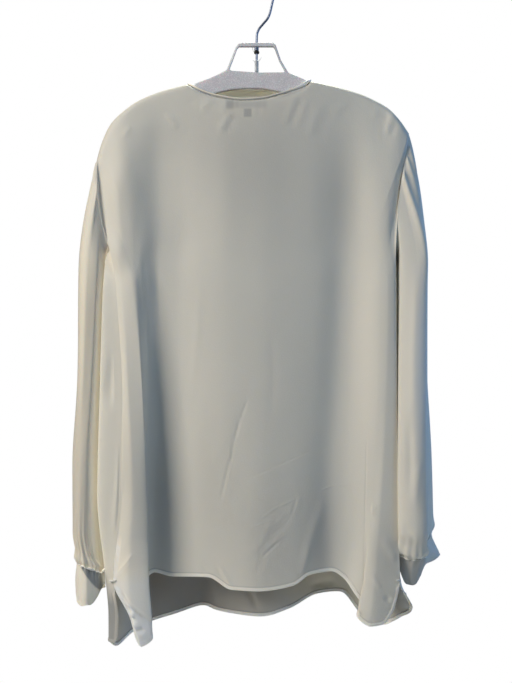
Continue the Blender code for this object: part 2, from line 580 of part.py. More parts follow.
def build():
    for thing in list(bpy.data.objects):
        bpy.data.objects.remove(thing)
    collection = bpy.data.collections.new("silk_blouse_on_hanger")
    bpy.context.scene.collection.children.link(collection)
    silk = material("ivory silk", (0.72, 0.69, 0.60), 0.42)
    build_panels(silk, collection)
    build_sleeves(silk, collection)
    build_binding(silk, collection)
    build_labels(material("label tape", (0.70, 0.68, 0.62), 0.6), collection)
    build_hanger(
        material("frosted grey plastic", (0.48, 0.49, 0.51), 0.5),
        material("bright steel", (0.62, 0.62, 0.64), 0.2, 1.0),
        material("black rubber", (0.03, 0.03, 0.03), 0.6),
        material("clear plastic", (0.75, 0.78, 0.80), 0.15),
        collection,
    )


build()
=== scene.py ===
"""A silk blouse on its hanger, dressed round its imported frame. Metres, +Z up, back of the blouse to -Y.

Every piece is a surface of two parameters, worked out on a grid. Tables are in millimetres: x from the
hook's stem, and heights down from the inside of the hook's top. Each section is one piece as a maker
would take it up: hanger, hook, back, front, sleeves, cuffs, neck binding, labels, stitching.
"""

import math

import bpy
import numpy as np
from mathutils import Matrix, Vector


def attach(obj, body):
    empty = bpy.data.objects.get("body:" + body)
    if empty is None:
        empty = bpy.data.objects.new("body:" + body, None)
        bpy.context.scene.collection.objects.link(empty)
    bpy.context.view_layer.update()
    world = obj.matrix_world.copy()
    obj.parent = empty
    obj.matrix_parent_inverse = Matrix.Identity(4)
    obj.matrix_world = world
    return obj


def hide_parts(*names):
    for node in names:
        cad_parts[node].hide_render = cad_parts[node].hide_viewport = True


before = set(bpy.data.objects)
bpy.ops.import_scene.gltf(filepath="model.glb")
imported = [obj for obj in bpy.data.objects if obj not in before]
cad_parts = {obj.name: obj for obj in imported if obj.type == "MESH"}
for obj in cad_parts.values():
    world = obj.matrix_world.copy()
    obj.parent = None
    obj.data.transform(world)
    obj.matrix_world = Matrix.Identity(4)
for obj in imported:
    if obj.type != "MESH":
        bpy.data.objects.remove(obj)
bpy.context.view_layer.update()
MM = 0.001


# ---- The hanger: a flat shoulder-shaped plate moulded in frosted grey plastic, with a strap ----
# over its middle that carries the hook. Its frame solid already has the shape of the real one,
# so only its finish is made here: a pale milky grey with a fine glittering grain.

class Wire:
    """A socket of a node tree. An expression of wires and numbers adds its own Math nodes."""

    def __init__(self, tree, socket=None):
        self.tree = tree
        self.socket = socket

    def node(self, kind, settings, values, output=0):
        """A new node with its settings, then its sockets' values or links; gives one output's wire."""
        made = self.tree.nodes.new(kind)
        for name, value in settings.items():
            if name == "stops":
                ramp = made.color_ramp
                while len(ramp.elements) < len(value):
                    ramp.elements.new(1.0)
                for stop, (place, shade) in zip(ramp.elements, value):
                    stop.position = place
                    stop.color = (shade, shade, shade, 1.0)
            else:
                setattr(made, name, value)
        for key, value in values.items():
            if isinstance(value, Wire):
                self.tree.links.new(value.socket, made.inputs[key])
            else:
                made.inputs[key].default_value = value
        return Wire(self.tree, made.outputs[output])

    def maths(self, operation, first, second=0.0):
        """A Math node of one value or two."""
        return self.node("ShaderNodeMath", {"operation": operation}, {0: first, 1: second})

    def __add__(self, other):
        return self.maths("ADD", self, other)

    def __radd__(self, other):
        return self.maths("ADD", other, self)

    def __sub__(self, other):
        return self.maths("SUBTRACT", self, other)

    def __rsub__(self, other):
        return self.maths("SUBTRACT", other, self)

    def __mul__(self, other):
        return self.maths("MULTIPLY", self, other)

    def __rmul__(self, other):
        return self.maths("MULTIPLY", other, self)

    def clamped(self):
        """This wire held between 0 and 1."""
        return self.node("ShaderNodeClamp", {}, {"Value": self})

    def blend(self, low, high):
        """The colour low where this wire is 0, and high where it is 1."""
        return self.node(
            "ShaderNodeMix",
            {"data_type": "RGBA"},
            {0: self, 6: low, 7: high},
            output=2,
        )

    def place(self, stretch=(1.0, 1.0, 1.0)):
        """Object coordinates in metres, stretched along each axis."""
        here = self.node("ShaderNodeTexCoord", {}, {}, output=3)
        return self.node("ShaderNodeMapping", {}, {"Vector": here, "Scale": stretch})

    def grain(self, scale, detail=2.0, stretch=(1.0, 1.0, 1.0)):
        """Noise with about scale bumps to the metre, from 0 to 1."""
        return self.node(
            "ShaderNodeTexNoise",
            {},
            {"Vector": self.place(stretch), "Scale": scale, "Detail": detail},
        )

    def __abs__(self):
        return self.maths("ABSOLUTE", self)

    def bump(self, height, distance, strength=1.0, over=None):
        """A normal from a height in metres, laid over another normal if one is given."""
        values = {"Height": height, "Distance": distance, "Strength": strength}
        return self.node("ShaderNodeBump", {}, values | ({"Normal": over} if over else {}))

    def named(self, attribute):
        """A number kept at each vertex of the piece."""
        return self.node("ShaderNodeAttribute", {"attribute_name": attribute}, {}, output=2)


def finish(name, fixed):
    """A new material: its tree's wire and its shader, whose fixed sockets are set by name."""
    made = bpy.data.materials.new(name)
    made.use_nodes = True
    shader = made.node_tree.nodes["Principled BSDF"]
    for key, value in fixed.items():
        shader.inputs[key].default_value = value
    return made, Wire(made.node_tree), shader


def feed(shader, colour, rough=None, normal=None):
    """Joins a finish's wires to its shader: its colour, and its roughness and normal if they are given."""
    for socket, wire in (("Base Color", colour), ("Roughness", rough), ("Normal", normal)):
        if wire is not None:
            wire.tree.links.new(wire.socket, shader.inputs[socket])


FROST_DULL = (0.62, 0.65, 0.69, 1)
FROST_BRIGHT = (0.93, 0.96, 1.0, 1)
SPECKS = 560.0            # glittering specks to the metre
plastic, tree, shader = finish(
    "frosted grey plastic", {"Specular IOR Level": 0.55, "Subsurface Weight": 0.12}
)
speck = tree.node("ShaderNodeTexVoronoi", {}, {"Vector": tree.place(), "Scale": SPECKS})
glint = tree.node("ShaderNodeValToRGB", {"stops": [(0.15, 1.0), (0.50, 0.0)]}, {"Fac": speck})
cloud = tree.grain(55.0, 3.0)
# The specks are smoother flakes, and lighter in colour as a painted glint.
feed(shader, (glint * 0.8 + cloud * 0.45).clamped().blend(FROST_DULL, FROST_BRIGHT),
     0.52 - glint * 0.22, tree.bump(tree.grain(1400.0, 2.0) + glint * 0.6, 0.00025, 0.6))

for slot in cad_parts["hanger_body"].material_slots:
    slot.material = plastic


# ---- The hook: polished steel wire, bent round a rail's loop with a goose neck, that turns in the ----
# strap's middle. Below the strap it has a steel collar, a black washer and a clear plastic sleeve.

def quads_of(number, flip):
    """The quads between a grid's point numbers, as rows of four, turned over if flip is set."""
    corners = (number[:-1, :-1], number[1:, :-1], number[1:, 1:], number[:-1, 1:])
    return np.stack([c.ravel() for c in (corners[::-1] if flip else corners)], axis=1)


def mesh_of(points, faces):
    """A smooth mesh of points (N, 3) in millimetres."""
    mesh = bpy.data.meshes.new("piece")
    mesh.from_pydata((points * MM).tolist(), [], faces)
    mesh.shade_smooth()
    return mesh


def grid_mesh(points, closed_round=False, closed_along=False, flip=False):
    """A mesh of quads over a grid of points (rows, columns, 3), joined round its columns or rows."""
    number = np.arange(points[:, :, 0].size).reshape(points.shape[:2])
    if closed_round:
        number = np.concatenate([number, number[:, :1]], axis=1)
    if closed_along:
        number = np.concatenate([number, number[:1]], axis=0)
    return mesh_of(points.reshape(-1, 3), quads_of(number, flip).tolist())


def put(name, mesh, material, replaced=()):
    """The piece itself, riding on the one body and standing for its frame solids."""
    mesh.name = name
    piece = bpy.data.objects.new(name, mesh)
    bpy.context.scene.collection.objects.link(piece)
    mesh.materials.append(material)
    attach(piece, "root")
    if replaced:
        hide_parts(*replaced)
    return piece


def through(knots, values, at):
    """A smooth curve through values at knots, each column its own, that never runs past them.

    knots and values are (K, N), at is (M, N). Each slope is the harmonic mean of its neighbours' and
    nought at a ridge or valley, and between knots the curve is the cubic that has those slopes.
    """
    knots, values, at = (np.asarray(a, dtype=float) for a in (knots, values, at))
    step = np.diff(knots, axis=0)
    rise = np.diff(values, axis=0) / step
    slope = np.empty_like(values)
    slope[0], slope[-1] = rise[0], rise[-1]
    a, b = rise[:-1], rise[1:]
    slope[1:-1] = np.where(a * b > 0, 2 * a * b / np.where(a * b > 0, a + b, 1.0), 0.0)
    span = sum((at >= knots[k]).astype(int) for k in range(1, len(knots) - 1))
    span = np.asarray(span) + np.zeros(at.shape, dtype=int)
    column = np.arange(values.shape[1])[None, :]
    h = step[span, column]
    t = (at - knots[span, column]) / h
    below, above = values[span, column], values[span + 1, column]
    low, high = slope[span, column] * h, slope[span + 1, column] * h
    return (below * (1 + 2 * t) * (1 - t) ** 2 + low * t * (1 - t) ** 2
            + above * t * t * (3 - 2 * t) + high * t * t * (t - 1))


def along(points, at):
    """Points (M, D) on the smooth curve through evenly numbered points, at shares 0 to 1 of it."""
    points = np.asarray(points, dtype=float)
    knots = np.linspace(0.0, 1.0, len(points))[:, None] + np.zeros(points.shape)
    shares = np.asarray(at, dtype=float)[:, None] + np.zeros((1, points.shape[1]))
    return through(knots, points, shares)


def unit(vectors):
    """The same vectors, each one unit long."""
    return vectors / np.maximum(np.linalg.norm(vectors, axis=-1, keepdims=True), 1e-12)


def rings(path, side, over, radii, sides):
    """A ring of points round each point of a path: its radius by the cosine of side and sine of over."""
    turn = np.arange(sides) / sides * 2 * math.pi
    ring = side[..., None, :] * np.cos(turn)[:, None] + over[..., None, :] * np.sin(turn)[:, None]
    return path[..., None, :] + radii[..., None, None] * ring


def tube(path, radii, sides):
    """A round tube: at each point of a flat path a ring of that radius, square to the path."""
    out = np.array([0.0, 1.0, 0.0]) + 0 * path
    return rings(path, np.cross(unit(np.gradient(path, axis=0)), out), out, radii, sides)


def turned(profile, sides=40):
    """A closed profile of (radius, down) turned round the stem."""
    profile = np.asarray(profile, dtype=float)
    turn = np.arange(sides) / sides * 2 * math.pi
    return np.stack([profile[:, :1] * np.cos(turn), profile[:, :1] * np.sin(turn),
                     -profile[:, 1:] + 0 * turn], axis=2)


WIRE_RADIUS = 1.75
LOOP_RADIUS = 27.75               # to the middle of the wire
LOOP_ENDS = (-110, 117)           # degrees from the loop's top, to the tip and to the goose neck
GOOSE_NECK = ((24.7, 38.6), (22.4, 48.5), (20.4, 57.5), (17.0, 66.5), (10.0, 75.2), (3.2, 83.8),
              (0.4, 92.0), (0.0, 100.0))
STEM_ENDS = (101, 148.3)
ROUND_TIP = (86, 64, 42, 20, 6)   # degrees from the wire's side to each ring of its round tip
COLLAR = ((2.2, 110.3), (2.7, 110.4), (3.05, 110.9), (3.1, 111.6), (3.1, 112.8), (2.85, 113.1),
          (2.85, 113.5), (3.1, 113.8), (3.1, 115.0), (2.9, 115.6), (2.5, 115.8), (2.1, 115.8),
          (2.1, 110.3))
WASHER = ((2.3, 116.2), (3.2, 116.25), (3.75, 116.7), (4.0, 117.5), (4.0, 119.0), (3.75, 119.9),
          (3.2, 120.35), (2.3, 120.4), (2.1, 120.2), (2.1, 116.4))
CLEAR_SLEEVE = ((2.2, 130.9), (2.9, 130.9), (3.2, 131.3), (3.2, 134.0), (3.05, 134.3), (3.05, 144.2),
                (3.2, 144.5), (3.2, 148.3), (2.2, 148.3))

loop_turn = np.radians(np.linspace(*LOOP_ENDS, 90))
loop = np.stack([LOOP_RADIUS * np.sin(loop_turn),
                 LOOP_RADIUS - WIRE_RADIUS - LOOP_RADIUS * np.cos(loop_turn)], axis=1)
stem = np.stack([np.zeros(20), np.linspace(*STEM_ENDS, 20)], axis=1)
line = np.vstack([loop, along(GOOSE_NECK, np.linspace(0.04, 1, 60)), stem])
tip = (line[0] - line[1]) / np.linalg.norm(line[0] - line[1])
dome = np.radians(ROUND_TIP)
line = np.vstack([line[0] + tip * WIRE_RADIUS * np.sin(a) for a in dome] + [line, line[-1] + [0, 0.1]])
radii = np.concatenate([WIRE_RADIUS * np.cos(dome), np.full(len(line) - len(dome) - 1, WIRE_RADIUS),
                        [0.05]])
wire_path = np.stack([line[:, 0], 0 * line[:, 0], -line[:, 1]], axis=1)

steel, tree, shader = finish("polished steel wire", {"Metallic": 1.0, "Specular IOR Level": 0.5})
drawn = tree.grain(20.0, 2.0)
feed(shader, drawn.blend((0.19, 0.22, 0.30, 1), (0.30, 0.35, 0.46, 1)), 0.36 + drawn * 0.12)
rubber, tree, shader = finish("black washer", {"Specular IOR Level": 0.3})
feed(shader, tree.grain(500.0, 3.0).blend((0.010, 0.010, 0.011, 1), (0.035, 0.034, 0.034, 1)),
     0.55 + tree.grain(900.0) * 0.25)
clear, tree, shader = finish("clear plastic sleeve",
                             {"IOR": 1.45, "Alpha": 0.45, "Specular IOR Level": 0.6})
feed(shader, tree.grain(300.0, 2.0).blend((0.55, 0.60, 0.66, 1), (0.93, 0.95, 0.97, 1)),
     0.12 + tree.grain(700.0) * 0.2)

put("hook_wire_polished", grid_mesh(tube(wire_path, radii, 24), closed_round=True),
    steel, ["hook_wire"])
for name, profile, material, slot, node in (
        ("hook_collar_turned", COLLAR, steel, "bright_steel", "hook_collar"),
        ("hook_ring_turned", WASHER, rubber, "black_rubber", "hook_ring"),
        ("stem_sleeve_clear", CLEAR_SLEEVE, clear, "clear_plastic", "stem_sleeve")):
    put(name, grid_mesh(turned(profile), closed_round=True, closed_along=True, flip=True),
        material, [node])

# A small loop of thread hangs beside the collar, and the clear sleeve's top has two thin moulding flashes.
LOOP_MIDDLE = (-4.6, -1.2, -111.5)
LOOP_HALVES = (1.5, 0.0, 5.3)     # half its width and half its height
LOOP_THREAD = 0.42                # its thread's radius
FLASHES = {"left": ((-2.6, 132.3), (-4.4, 131.2), (-6.4, 129.9)),
           "right": ((2.6, 132.0), (4.6, 129.6), (7.6, 125.6))}
loop_turn = np.arange(40) / 40 * 2 * math.pi
across_loop = np.stack([np.cos(loop_turn), 0 * loop_turn, np.sin(loop_turn)], axis=1)
thread_ring = rings(LOOP_MIDDLE + across_loop * LOOP_HALVES, across_loop,
                    np.array([0, 1.0, 0]) + 0 * across_loop, np.full(40, LOOP_THREAD), 10)
put("collar_loop", grid_mesh(thread_ring, closed_round=True, closed_along=True, flip=True),
    plastic)
for side, ends in FLASHES.items():
    curve = along(ends, np.linspace(0, 1, 12))
    whisker = np.stack([curve[:, 0], 0 * curve[:, 0] - 1.6, -curve[:, 1]], axis=1)
    thin = np.concatenate([[0.03], np.linspace(0.5, 0.22, 10), [0.03]])
    put(f"sleeve_flash_{side}", grid_mesh(tube(whisker, thin, 10), closed_round=True),
        plastic)


# ---- The back: one length of ivory silk crepe, cut in one piece and hung from the hanger's arms. ----
# Its folds fall from the shoulders. At each side vent its corner folds over itself into a flap, and
# its vent edges and hem are turned twice and stitched, so that they are narrow raised bands.

BODY_HEIGHTS = (440, 480, 640, 780, 905, 960, 1015)
HAND_OVER = (400, 460)    # where the back's upper table gives way to its fold lines
SHOULDER_ROUND = 7.0      # half the cloth's width where it turns over the arm
TIP_ROUND = 12.0          # the same beyond the arm's end
TIP_FROM, TIP_TO = 185, 228     # how far out the arm's end begins and ends
ROLL_REACH = 11.0         # how far across one broad fold rolls into the next
VENT_TOP = 905.0
SILK_WALL = 0.4           # one layer of silk
HEM_WIDTH = 5.0
HEM_RAISE = 0.9           # how far the turned hem stands out

SHOULDER_SEAM = {
    "left": ((-235, 262), (-230, 248), (-219, 226), (-199, 206), (-177, 191), (-146, 178), (-104, 167)),
    "right": ((228, 240), (216, 222.5), (197, 202.5), (177.5, 191), (152.5, 180), (123.5, 171.5),
              (81.5, 162)),
}
ARMHOLE = {
    "left": ((-235, 0, 262), (-238, -11, 294), (-236.5, -15, 334), (-231, -15.5, 372), (-221, -13, 407),
             (-227, 3, 388), (-235, 17, 342), (-238, 13, 296), (-235, 0, 262)),
    "right": ((228, 0, 240), (222, -13, 274), (214, -20, 316), (209, -23, 364), (206, -20, 414),
              (208.5, 6, 388), (213.5, 18, 334), (222, 13, 278), (228, 0, 240)),
}
# Neck edges, left to right: x, y, down, then the binding's height above them.
NECKLINE = {
    "back": ((-104, 0, 167, 3), (-94, -8, 173.5, 5), (-60, -15.5, 187.3, 4.5), (-20, -19.5, 193.8, 4.5),
             (8, -19, 191.8, 4.5), (34, -16, 185.2, 4.5), (56, -12, 178, 6), (73, -8, 170.5, 9),
             (81.5, 0, 162, 4)),
    "front": ((-104, 0, 167, 3), (-94, 8, 170, 4.5), (-60, 12, 172, 4.5), (-20, 15, 173, 4.5),
              (8, 15, 173, 4.5), (34, 13, 171, 4.5), (56, 11, 168.5, 5), (73, 8, 165.5, 6),
              (81.5, 0, 162, 4)),
}
# Fold lines from the left side seam to the right: name, hem height, x at each body height, distance
# out from the hanger at each.
BACK_FOLDS = (
    ("side_seam_left", 996, (-213, -209, -199, -200, -212, -187, -173), (14, 18, 26, 30, 28, 29, 32)),
    ("flap_left", 999, (-204, -198, -187, -181, -186, -180, -164), (21, 25, 35, 42, 42, 42, 42)),
    ("fold_edge_left", 988, (-186, -181, -168, -161, -158, -154, -152), (26.5, 29, 35, 37, 37, 36, 36)),
    ("fold_back_left", 966, (-175, -171, -165, -166, -168, -168, -168), (24, 24, 26, 26, 25, 24, 24)),
    ("valley_left", 925, (-165, -161, -162, -169, -171, -171, -171), (18, 17, 14, 12, 10, 10, 10)),
    ("floor_left", 897, (-148, -145, -143, -149, -153, -153, -153), (10, 9, 6, 4, 4, 4, 4)),
    ("slope_left", 903, (-124, -121, -118, -120, -122, -122, -122), (11, 10.5, 8, 5.5, 4.5, 4.5, 4.5)),
    ("ridge_left", 902, (-83, -80, -76, -74, -74, -74, -74), (19, 20, 20, 17, 14, 13, 13)),
    ("middle_left", 919, (-43, -40, -38, -37, -37, -37, -37), (24, 25.5, 27, 26, 24, 24, 24)),
    ("middle", 920, (3, 4, 4, 4, 4, 4, 4), (25, 26.5, 29, 30, 30, 30, 30)),
    ("middle_right", 912.5, (43, 43, 44, 48, 54, 56, 56), (23, 24, 26, 26, 25, 25, 25)),
    ("slope_right", 898, (96, 94, 84, 79, 80, 80, 80), (17.5, 18, 19.5, 19, 17, 16, 16)),
    ("valley_right", 894.5, (127, 126, 118, 109, 110, 110, 110), (9.5, 9.5, 10, 9, 7, 7, 7)),
    ("rise_right", 904, (145, 144, 136, 128, 129, 130, 130), (12, 12, 12, 10, 9, 10, 10)),
    ("ridge_right", 930, (160, 159, 154, 147, 148, 149, 148), (17, 18, 19, 16, 14, 14, 14)),
    ("turn_right", 948, (171, 171, 168, 160, 163, 163, 162), (22, 24, 25, 22, 20, 20, 20)),
    ("fold_edge_right", 957, (183, 183, 180, 172, 158, 148, 145), (27, 29, 30, 28, 27, 28, 28)),
    ("flap_inner_right", 971, (194, 194, 191, 184, 174, 168, 166), (29, 31, 32, 32, 33, 34, 33)),
    ("flap_outer_right", 968, (202, 202, 202, 198, 194, 189, 186), (28, 30, 31, 31, 31, 30, 30)),
    ("side_seam_right", 957, (206, 206, 207, 208.5, 211, 200, 188), (25, 27, 29, 29, 28, 26, 25)),
)
BACK_CORNERS = (0, 4, 8, 11, 15, 19)
# The back above its first body height: heights, places across, and distances out at each height.
BACK_UPPER = (
    (190, 235, 280, 340, 400, 460),
    (-246, -226, -200, -172, -146, -118, -82, -40, 4, 44, 82, 110, 130, 148, 168, 188, 202, 232),
    ((0, 4, 9, 11, 12.5, 14.5, 17, 20, 20.5, 19, 16.5, 14.5, 13, 12, 11.5, 10.5, 9, 5),
     (1, 6, 15, 14.5, 12, 13, 16.8, 20.6, 20.6, 18.9, 17, 14.5, 13, 13.5, 15, 15, 13.5, 9),
     (5, 9, 20, 15, 9.5, 11.5, 17.2, 21.7, 21.4, 19.4, 17.4, 14.5, 12.5, 13.5, 18, 20, 19.5, 13),
     (10, 13, 24, 16.5, 8.5, 10.5, 17.2, 23, 22.8, 20.5, 18, 14, 11, 13, 20, 25, 26, 18),
     (9, 13, 26, 21, 9, 9.5, 16.8, 23.6, 24.2, 21.5, 18, 13, 10, 12.5, 20, 27.5, 29, 22),
     (9, 13, 27, 24, 10, 9.5, 17, 24, 25.3, 22.8, 18.7, 12.5, 9.5, 12.5, 20.5, 28.5, 30, 24)),
)


def top_edge(panel, corners, rows):
    """The panel's top edge at fold-line numbers rows: underarm, armhole, shoulder, neck, and back down.

    Each stretch between two corners is the seam's own smooth curve, at the same share of its length.
    """
    stretch = np.clip(np.searchsorted(corners, rows, side="right") - 1, 0, 4)
    first, last = np.asarray(corners)[stretch], np.asarray(corners)[stretch + 1]
    share = (rows - first) / (last - first)
    back = panel == "back"
    seams = (
        along(ARMHOLE["left"], np.clip(0.5 - share / 2 if back else 0.5 + share / 2, 0, 1)),
        np.insert(along(SHOULDER_SEAM["left"], share), 1, 0.0, axis=1),
        along(NECKLINE[panel], share)[:, :3],
        np.insert(along(SHOULDER_SEAM["right"], 1 - share), 1, 0.0, axis=1),
        along(ARMHOLE["right"], np.clip(share / 2 if back else 1 - share / 2, 0, 1)),
    )
    return np.choose(stretch[:, None] + np.zeros((1, 3), dtype=int), seams)


def ramp(x, start, end):
    """0 up to start and 1 from end on, straight between them. start may be the greater of the two."""
    return np.clip((x - start) / (end - start), 0, 1)


def eased(share):
    """A share from 0 to 1, made level at both of its ends."""
    return share * share * (3 - 2 * share)


def bell(x, middle, width):
    """1 at the middle, and dying away to 1/e at a width from it."""
    return np.exp(-((x - middle) / width) ** 2)


def eased_across(x, out, counted, reach):
    """Each row's values blurred over x by a bell of half width reach, from the counted columns."""
    bell = np.exp(-((x[:, :, None] - x[:, None, :]) / reach) ** 2)
    bell = bell * (np.abs(np.gradient(x, axis=1)) * counted)[:, None, :]
    return (bell * out[:, None, :]).sum(axis=2) / np.maximum(bell.sum(axis=2), 1e-9)


def panel_points(panel, rows, top, folds, drop, upper, soft):
    """Points (V, U, 3) in millimetres, drop (V, U) below the panel's top edge, at fold-line numbers.

    Down from the first body height, the cloth follows smooth curves through the table, across and
    down. Above it, its distance out is a smooth surface over x and height, given by the table upper,
    and at the hanger's arm it turns over through a quarter round. Between the fold-line numbers soft,
    it is eased across, so that broad folds roll into each other.
    """
    table = np.array([(*xs, *outs) for _, _, xs, outs in folds], dtype=float)
    index = np.arange(len(folds), dtype=float)[:, None] + np.zeros(table.shape)
    fine = through(index, table, rows[:, None] + np.zeros((1, table.shape[1]))).T
    count = len(BODY_HEIGHTS)
    side = -1.0 if panel == "back" else 1.0
    over_arm = top[:, 2] < ARMHOLE["left"][1][2]
    edge_out = np.where(over_arm, np.maximum(side * top[:, 1], 0.25), side * top[:, 1])
    past_arm = ramp(np.abs(top[:, 0]), TIP_FROM, TIP_TO)
    full_out = SHOULDER_ROUND + (TIP_ROUND - SHOULDER_ROUND) * past_arm
    full_out = np.where(over_arm, np.maximum(edge_out, full_out), edge_out)
    knots = np.vstack([top[None, :, 2]] + [np.full((1, len(rows)), float(h)) for h in BODY_HEIGHTS])
    heights = top[None, :, 2] + drop
    x = through(knots, np.vstack([top[None, :, 0], fine[:count]]), heights)
    out = through(knots, np.vstack([full_out[None, :], fine[count:]]), heights)
    levels, across, outs = upper
    first = [np.interp(heights, levels, row) for row in np.asarray(outs, dtype=float).T]
    spread = np.asarray(across, dtype=float)[:, None] + np.zeros((1, heights.size))
    field = through(spread, np.stack([f.ravel() for f in first]),
                    np.clip(x, across[0], across[-1]).reshape(1, -1)).reshape(heights.shape)
    low = ramp(heights, *HAND_OVER)
    out = field * (1 - eased(low)) + out * eased(low)
    calm = np.maximum(np.interp(rows, soft, (0, 1, 1, 0))[None, :], 1 - low)
    calm = calm * np.interp(rows, (0.3, 2, len(folds) - 3, len(folds) - 1.3), (0, 1, 1, 0))[None, :]
    counted = np.maximum(1 - low, (calm > 0) * 1.0)
    out = out + (eased_across(x, out, counted, ROLL_REACH) - out) * calm
    turn = ramp(drop, 0, np.maximum(full_out, SHOULDER_ROUND))
    out = edge_out[None, :] + (out - edge_out[None, :]) * np.sqrt(1 - (1 - turn) ** 2)
    return np.stack([x, side * out, -heights], axis=2)


ROWS_CROWDED = 0.5        # how much closer together the rows are near a panel's top and hem
ARM_ROWS = np.array([0, 0.15, 0.5, 1.1, 2.0, 3.2, 4.8, 7.0, 10.0, 14.0, 19.0])    # down from the top
HEM_ROWS = np.array([14.0, 10.5, 8.0, 6.4, 5.4, 4.8, 4.3, 3.7, 2.8, 1.8, 0.9, 0.3, 0.0])    # up from the hem


def drops(length, rows_between):
    """Row heights (V, U) below the top edge, close together over the arm and along the hem."""
    share = np.linspace(0, 1, rows_between + 1)[1:-1, None]
    share = share - ROWS_CROWDED * np.sin(2 * math.pi * share) / (2 * math.pi)
    between = ARM_ROWS[-1] + share * (length - ARM_ROWS[-1] - HEM_ROWS[0])
    return np.vstack([ARM_ROWS[:, None] + 0 * length, between, length - HEM_ROWS[:, None]])


def outward(grid, flip, closed=False):
    """Unit normals of a grid, from its differences down and across, wrapped round if it is a tube."""
    wide = np.concatenate([grid[:, -1:], grid, grid[:, :1]], axis=1) if closed else grid
    normal = np.cross(np.gradient(wide, axis=0), np.gradient(wide, axis=1))
    return unit(normal[:, 1:-1] if closed else normal) * (-1.0 if flip else 1.0)


def edge_distance(grid, rim, rim_number, number, reach):
    """How far each grid point lies from a rim line, counting only rim points near it in number."""
    near = np.full(grid.shape[:2], 1e3)
    for point, place in zip(rim, rim_number):
        far = np.linalg.norm(grid - point, axis=2)
        near = np.minimum(near, np.where(np.abs(number - place)[None, :] < reach, far, 1e3))
    return near


def hem_band(distance):
    """A turned hem: a raised band with a soft inner shoulder, pulled in along its stitching."""
    step = eased(ramp(distance, HEM_WIDTH + 0.6, HEM_WIDTH - 0.6))
    return HEM_RAISE * (step - 0.7 * bell(distance, HEM_WIDTH - 1.0, 0.6) - 0.25 * bell(distance, 0, 0.7))


def creases(grid, number, table):
    """The sum of creases: each a soft ridge, trough or step along a line of (x, down) points.

    The height dies away as a bell across the line, and at both of its ends. A step has one bell's
    slope, so that the cloth is high on one side of the line and low on the other. A crease only
    touches cloth between its two fold-line numbers.
    """
    relief = np.zeros(grid.shape[:2])
    flat = np.stack([grid[:, :, 0], -grid[:, :, 2]], axis=2)
    for kind, low, high, width, height, line in table:
        line = np.asarray(line, dtype=float)
        pieces = np.linalg.norm(np.diff(line, axis=0), axis=1)
        started = np.concatenate([[0], np.cumsum(pieces)])
        best = np.full(relief.shape, 1e9)
        side, place = np.zeros(relief.shape), np.zeros(relief.shape)
        for start, piece, size, before in zip(line[:-1], np.diff(line, axis=0), pieces, started):
            away = flat - start
            t = np.clip((away @ piece) / size ** 2, 0, 1)
            off = away - t[:, :, None] * piece
            far = np.linalg.norm(off, axis=2)
            cross = piece[0] * off[:, :, 1] - piece[1] * off[:, :, 0]
            closer = far < best
            best = np.where(closer, far, best)
            side = np.where(closer, np.sign(cross), side)
            place = np.where(closer, (before + t * size) / started[-1], place)
        shape = bell(best, 0, width)
        if kind == "step":
            shape = shape * side * best / width * 2.3
        ends = eased(ramp(np.minimum(place, 1 - place), 0, 0.3))
        relief += height * shape * ends * ((number >= low) & (number <= high))[None, :]
    return relief


def shell(grid, wall, flip, closed=False, tone=None, tone_inside=None):
    """Cloth of a given thickness at each point: grid is its outer face, and its open edges are rounded.

    tone is kept at each vertex for the finish, as painted light and shade: up to 1 it is creamier where
    light comes through, up to 2 it is whiter where it lies double and as painted light, and below nought it
    is darker in painted shade. tone_inside is the inner face's own.
    """
    wall = wall + np.zeros(grid.shape[:2])
    inner = grid - outward(grid, flip, closed) * wall[:, :, None]
    number = np.arange(wall.size).reshape(wall.shape)
    wide = np.concatenate([number, number[:, :1]], axis=1) if closed else number
    outer_faces = quads_of(wide, flip)
    faces = [outer_faces, outer_faces[:, ::-1] + wall.size]
    away = np.zeros_like(grid)
    away[0] += unit(grid[0] - grid[1])
    away[-1] += unit(grid[-1] - grid[-2])
    if closed:
        rims = [np.append(number[0], number[0, 0]), np.append(number[-1], number[-1, 0])[::-1]]
    else:
        rims = [np.concatenate([number[0, :-1], number[:-1, -1], number[-1, :0:-1], number[:0:-1, 0],
                                number[0, :1]])]
        away[:, 0] += unit(grid[:, 0] - grid[:, 1])
        away[:, -1] += unit(grid[:, -1] - grid[:, -2])
    middle = ((grid + inner) / 2 + unit(away) * wall[:, :, None] / 2).reshape(-1, 3)
    shades = np.zeros(wall.shape) if tone is None else tone
    points = [grid.reshape(-1, 3), inner.reshape(-1, 3)]
    kept = [shades.ravel(), (shades if tone_inside is None else tone_inside).ravel()]
    for rim in rims:
        edge = sum(len(p) for p in points) + np.append(np.arange(len(rim) - 1), 0)
        points.append(middle[rim[:-1]])
        kept.append(shades.ravel()[rim[:-1]])
        faces += [quads_of(np.stack([rim, edge]), flip),
                  quads_of(np.stack([edge, rim + wall.size]), flip)]
    mesh = mesh_of(np.vstack(points), np.vstack(faces).tolist())
    mesh.attributes.new("tone", "FLOAT", "POINT").data.foreach_set("value", np.concatenate(kept))
    return mesh


def pressed(x, down, line):
    """A fine line pressed into the cloth: an eased rise over its half width, fading at both ends.

    It is worked out from how far ahead along the line a point lies, and how far off to its side.
    """
    start_x, start_down, end_x, end_down, wide, height = line
    length = math.hypot(end_x - start_x, end_down - start_down)
    along_x, along_down = (end_x - start_x) / length, (end_down - start_down) / length
    ahead = (x - start_x) * along_x + (down - start_down) * along_down
    off = abs((x - start_x) * along_down - (down - start_down) * along_x)
    rise = (1.0 - off * (1 / wide)).clamped()
    ends = (ahead * 0.1).clamped() * ((length - ahead) * 0.1).clamped()
    return rise * rise * (3.0 - rise * 2.0) * ends * height


